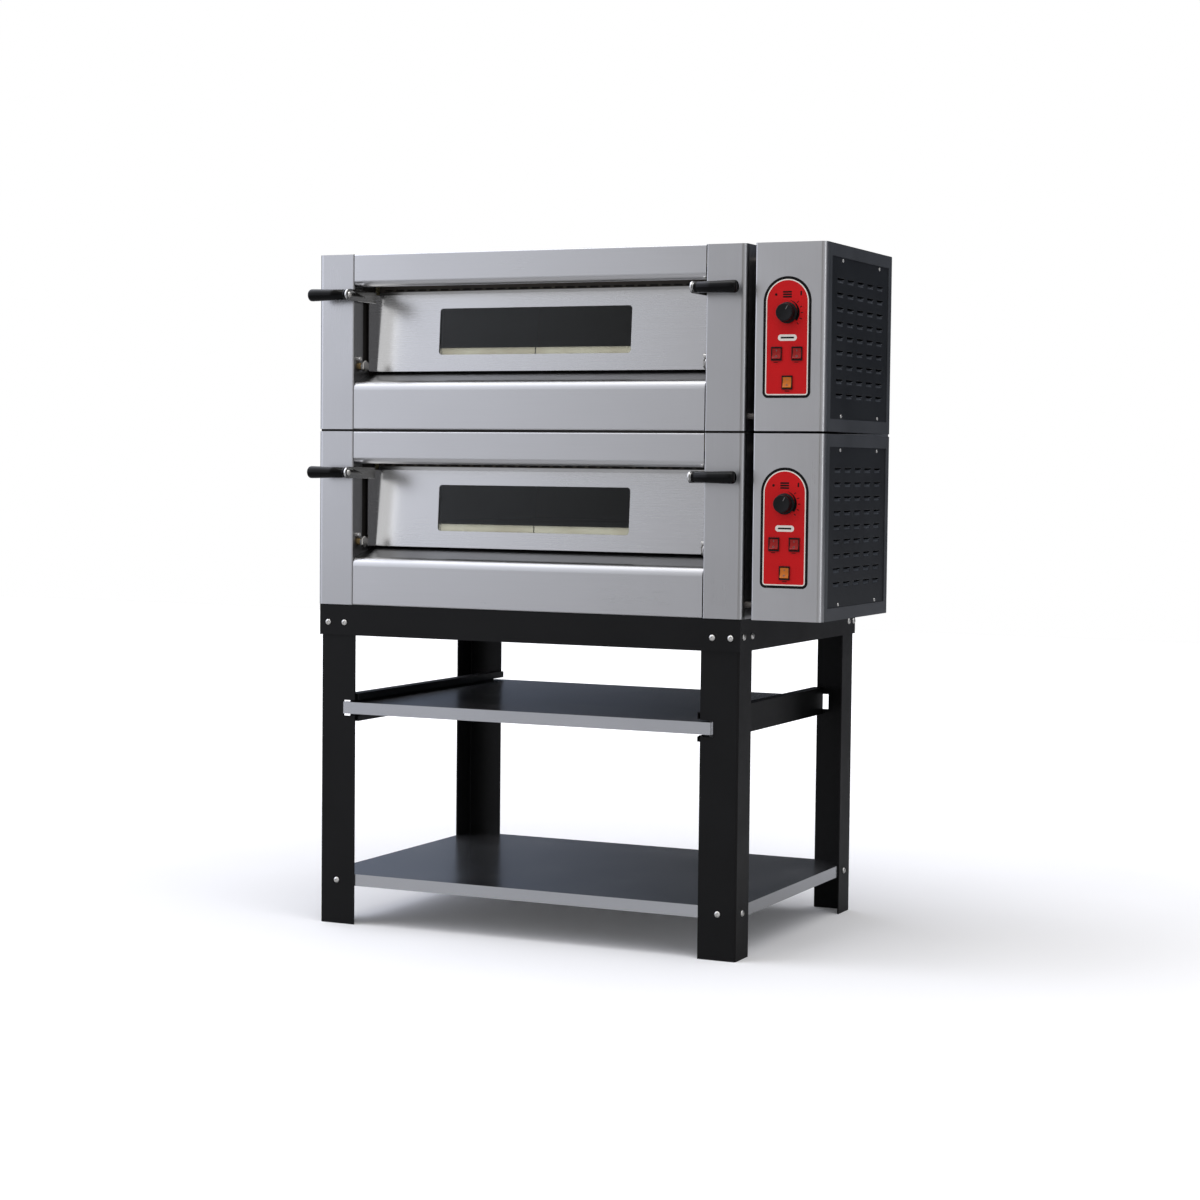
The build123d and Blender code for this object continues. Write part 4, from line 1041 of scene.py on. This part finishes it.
def make_world():
    """Bright studio: pale in front, darker low behind, brightest overhead."""
    world = bpy.data.worlds.new("studio")
    SCENE.world = world
    world.use_nodes = True
    tree = world.node_tree
    tree.nodes.clear()

    def node(kind):
        """New node of the world."""
        return tree.nodes.new(kind)

    def ramp(source, stops):
        """Colour from a ramp."""
        made = node("ShaderNodeValToRGB")
        tree.links.new(source, made.inputs["Fac"])
        set_stops(made, stops)
        return made.outputs["Color"]

    def remap(source, start, end):
        """Share of the way from a start to an end."""
        made = node("ShaderNodeMapRange")
        tree.links.new(source, made.inputs["Value"])
        made.inputs["From Min"].default_value = start
        made.inputs["From Max"].default_value = end
        return made.outputs["Result"]

    coord = node("ShaderNodeTexCoord")
    split = node("ShaderNodeSeparateXYZ")
    tree.links.new(coord.outputs["Generated"], split.inputs["Vector"])
    height = remap(split.outputs["Z"], -1.0, 1.0)
    front = ramp(height, [
        (0.0, (0.20, 0.20, 0.20)), (1.0, (2.4, 2.4, 2.4)), (0.40, (0.42, 0.42, 0.42)),
        (0.47, (0.84, 0.84, 0.84)), (0.54, (0.84, 0.84, 0.84)), (0.60, (1.03, 1.03, 1.03)),
        (0.78, (1.22, 1.22, 1.22)), (0.90, (2.2, 2.2, 2.2)),
    ])
    rear = ramp(height, [
        (0.0, (0.30, 0.30, 0.31)), (1.0, (2.4, 2.4, 2.4)), (0.50, (0.075, 0.084, 0.105)),
        (0.66, (0.12, 0.135, 0.158)), (0.80, (0.95, 0.95, 0.98)), (0.90, (2.2, 2.2, 2.2)),
    ])
    depth = remap(split.outputs["Y"], -0.35, 0.35)
    mix = node("ShaderNodeMix")
    mix.data_type = "RGBA"
    tree.links.new(depth, mix.inputs["Factor"])
    tree.links.new(front, mix.inputs[MIX_FIRST])
    tree.links.new(rear, mix.inputs[MIX_SECOND])
    side = ramp(remap(split.outputs["X"], -1.0, 1.0), [
        (0.20, (1.40, 1.45, 1.64)), (0.25, (1.26, 1.30, 1.42)), (0.31, (0.36, 0.35, 0.34)),
        (0.46, (0.31, 0.30, 0.29)), (0.75, (0.55, 0.55, 0.57)),
    ])
    tint = node("ShaderNodeMix")
    tint.data_type = "RGBA"
    tint.blend_type = "MULTIPLY"
    tint.inputs["Factor"].default_value = 1.0
    tree.links.new(mix.outputs[MIX_RESULT], tint.inputs[MIX_FIRST])
    tree.links.new(side, tint.inputs[MIX_SECOND])
    studio = node("ShaderNodeBackground")
    tree.links.new(tint.outputs[MIX_RESULT], studio.inputs["Color"])
    studio.inputs["Strength"].default_value = 1.0
    # The camera sees white paper; everything else is lit by the studio
    paper = node("ShaderNodeBackground")
    paper.inputs["Color"].default_value = (1.0, 1.0, 1.0, 1.0)
    seen = node("ShaderNodeLightPath")
    choose = node("ShaderNodeMixShader")
    tree.links.new(seen.outputs["Is Camera Ray"], choose.inputs["Fac"])
    tree.links.new(studio.outputs["Background"], choose.inputs[1])
    tree.links.new(paper.outputs["Background"], choose.inputs[2])
    output = node("ShaderNodeOutputWorld")
    tree.links.new(choose.outputs["Shader"], output.inputs["Surface"])


def add_softbox(name, location, aim, width, height, power, colour=(1, 1, 1)):
    """Rectangular light at a place, turned to what it aims at."""
    data = bpy.data.lights.new(name, "AREA")
    data.shape = "RECTANGLE"
    data.size = width
    data.size_y = height
    data.energy = power
    data.color = colour
    light = bpy.data.objects.new(name, data)
    SCENE.collection.objects.link(light)
    light.location = location
    light.rotation_mode = "QUATERNION"
    light.rotation_quaternion = (Vector(aim) - Vector(location)).to_track_quat("-Z", "Y")
    return light


def add_glow(name, centre, normal, width, height, radiance, colour=(1, 1, 1)):
    """Hidden soft panel close to the oven, seen only in what it lights."""
    power = radiance * pi * width * height
    light = add_softbox(name, centre, Vector(centre) + Vector(normal), width, height, power, colour)
    light.visible_camera = False
    light.visible_transmission = False


def light_stones():
    """Glow on the front edge of the stones, just behind each door glass."""
    for deck in DECKS:
        low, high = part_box(f"{deck}_door_glass")
        place = mouth_plane(deck)
        across = middle((low, high)).x - place.translation.x
        centre = place @ Vector((across, up_mouth(place, low.z + 15.0 * MM), 7.5 * MM))
        inward = place.to_3x3() @ Vector((0, 0, -1))
        add_glow(f"{deck}_chamber", centre, inward, high.x - low.x, 16.0 * MM, 2.1, (1.0, 0.99, 0.95))


def light_doors():
    """Glow that stands in for what the fascia's polished lip and the recess throw on the door."""
    lip_glow, end_glow = 0.50, 0.75
    for deck in DECKS:
        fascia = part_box(f"{deck}_top_fascia")
        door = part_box(f"{deck}_door_skin")
        width = fascia[1].x - fascia[0].x - 16.0 * MM
        x, y, z = middle(fascia).x, fascia[0].y, fascia[0].z
        under = Vector((x, y + 12.5 * MM, z - 0.6 * MM))
        add_glow(f"{deck}_lip_under", under, (0, 0, -1), width, 23.0 * MM, lip_glow)
        behind = Vector((x, y + 26.0 * MM, z + 8.0 * MM))
        add_glow(f"{deck}_lip_behind", behind, (0, 1, 0), width, 14.0 * MM, lip_glow)
        end = Vector((door[0].x + 3.2 * MM, y + 36.0 * MM, middle(door).z))
        add_glow(f"{deck}_door_end", end, (1, 0, 0), 72.0 * MM, 150.0 * MM, end_glow)


# The scene

make_camera()
for finish, names in NODE_FINISH.items():
    for name in names:
        for deck in DECKS:
            paint(f"{deck}_{name}", finish)
for finish, names in SHARED_FINISH.items():
    for name in names:
        paint(name, finish)

for deck in DECKS:
    soften(f"{deck}_control_cover", 0.9 * MM)
    make_louvre_panel(deck)
    red_field = make_label(deck)
    make_knob(deck)
    for name, finish in ROCKERS.items():
        make_rocker(deck, name, finish)
    make_vent_strip(deck)
    make_stone_edges(deck)
    if deck == "lower":
        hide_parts("control_labels")
make_deck_joint()
for node in ("sliding_shelf", "lower_shelf", "switch_bodies"):
    soften(node, 0.5 * MM)
make_grips()
make_levers()
make_hinge_bolts()
make_stand_bolts()
make_panel_screws()

SCENE.view_settings.view_transform = "Standard"
make_floor()
make_world()
add_softbox("overhead", (0.3, -0.6, 3.9), (0.0, 0.0, 0.6), 2.6, 2.6, 45.0)
add_softbox("right_strip", (4.2, -2.2, 1.3), (0.55, -0.4, 1.0), 0.9, 2.4, 9.0, (0.92, 0.96, 1.0))
light_stones()
light_doors()
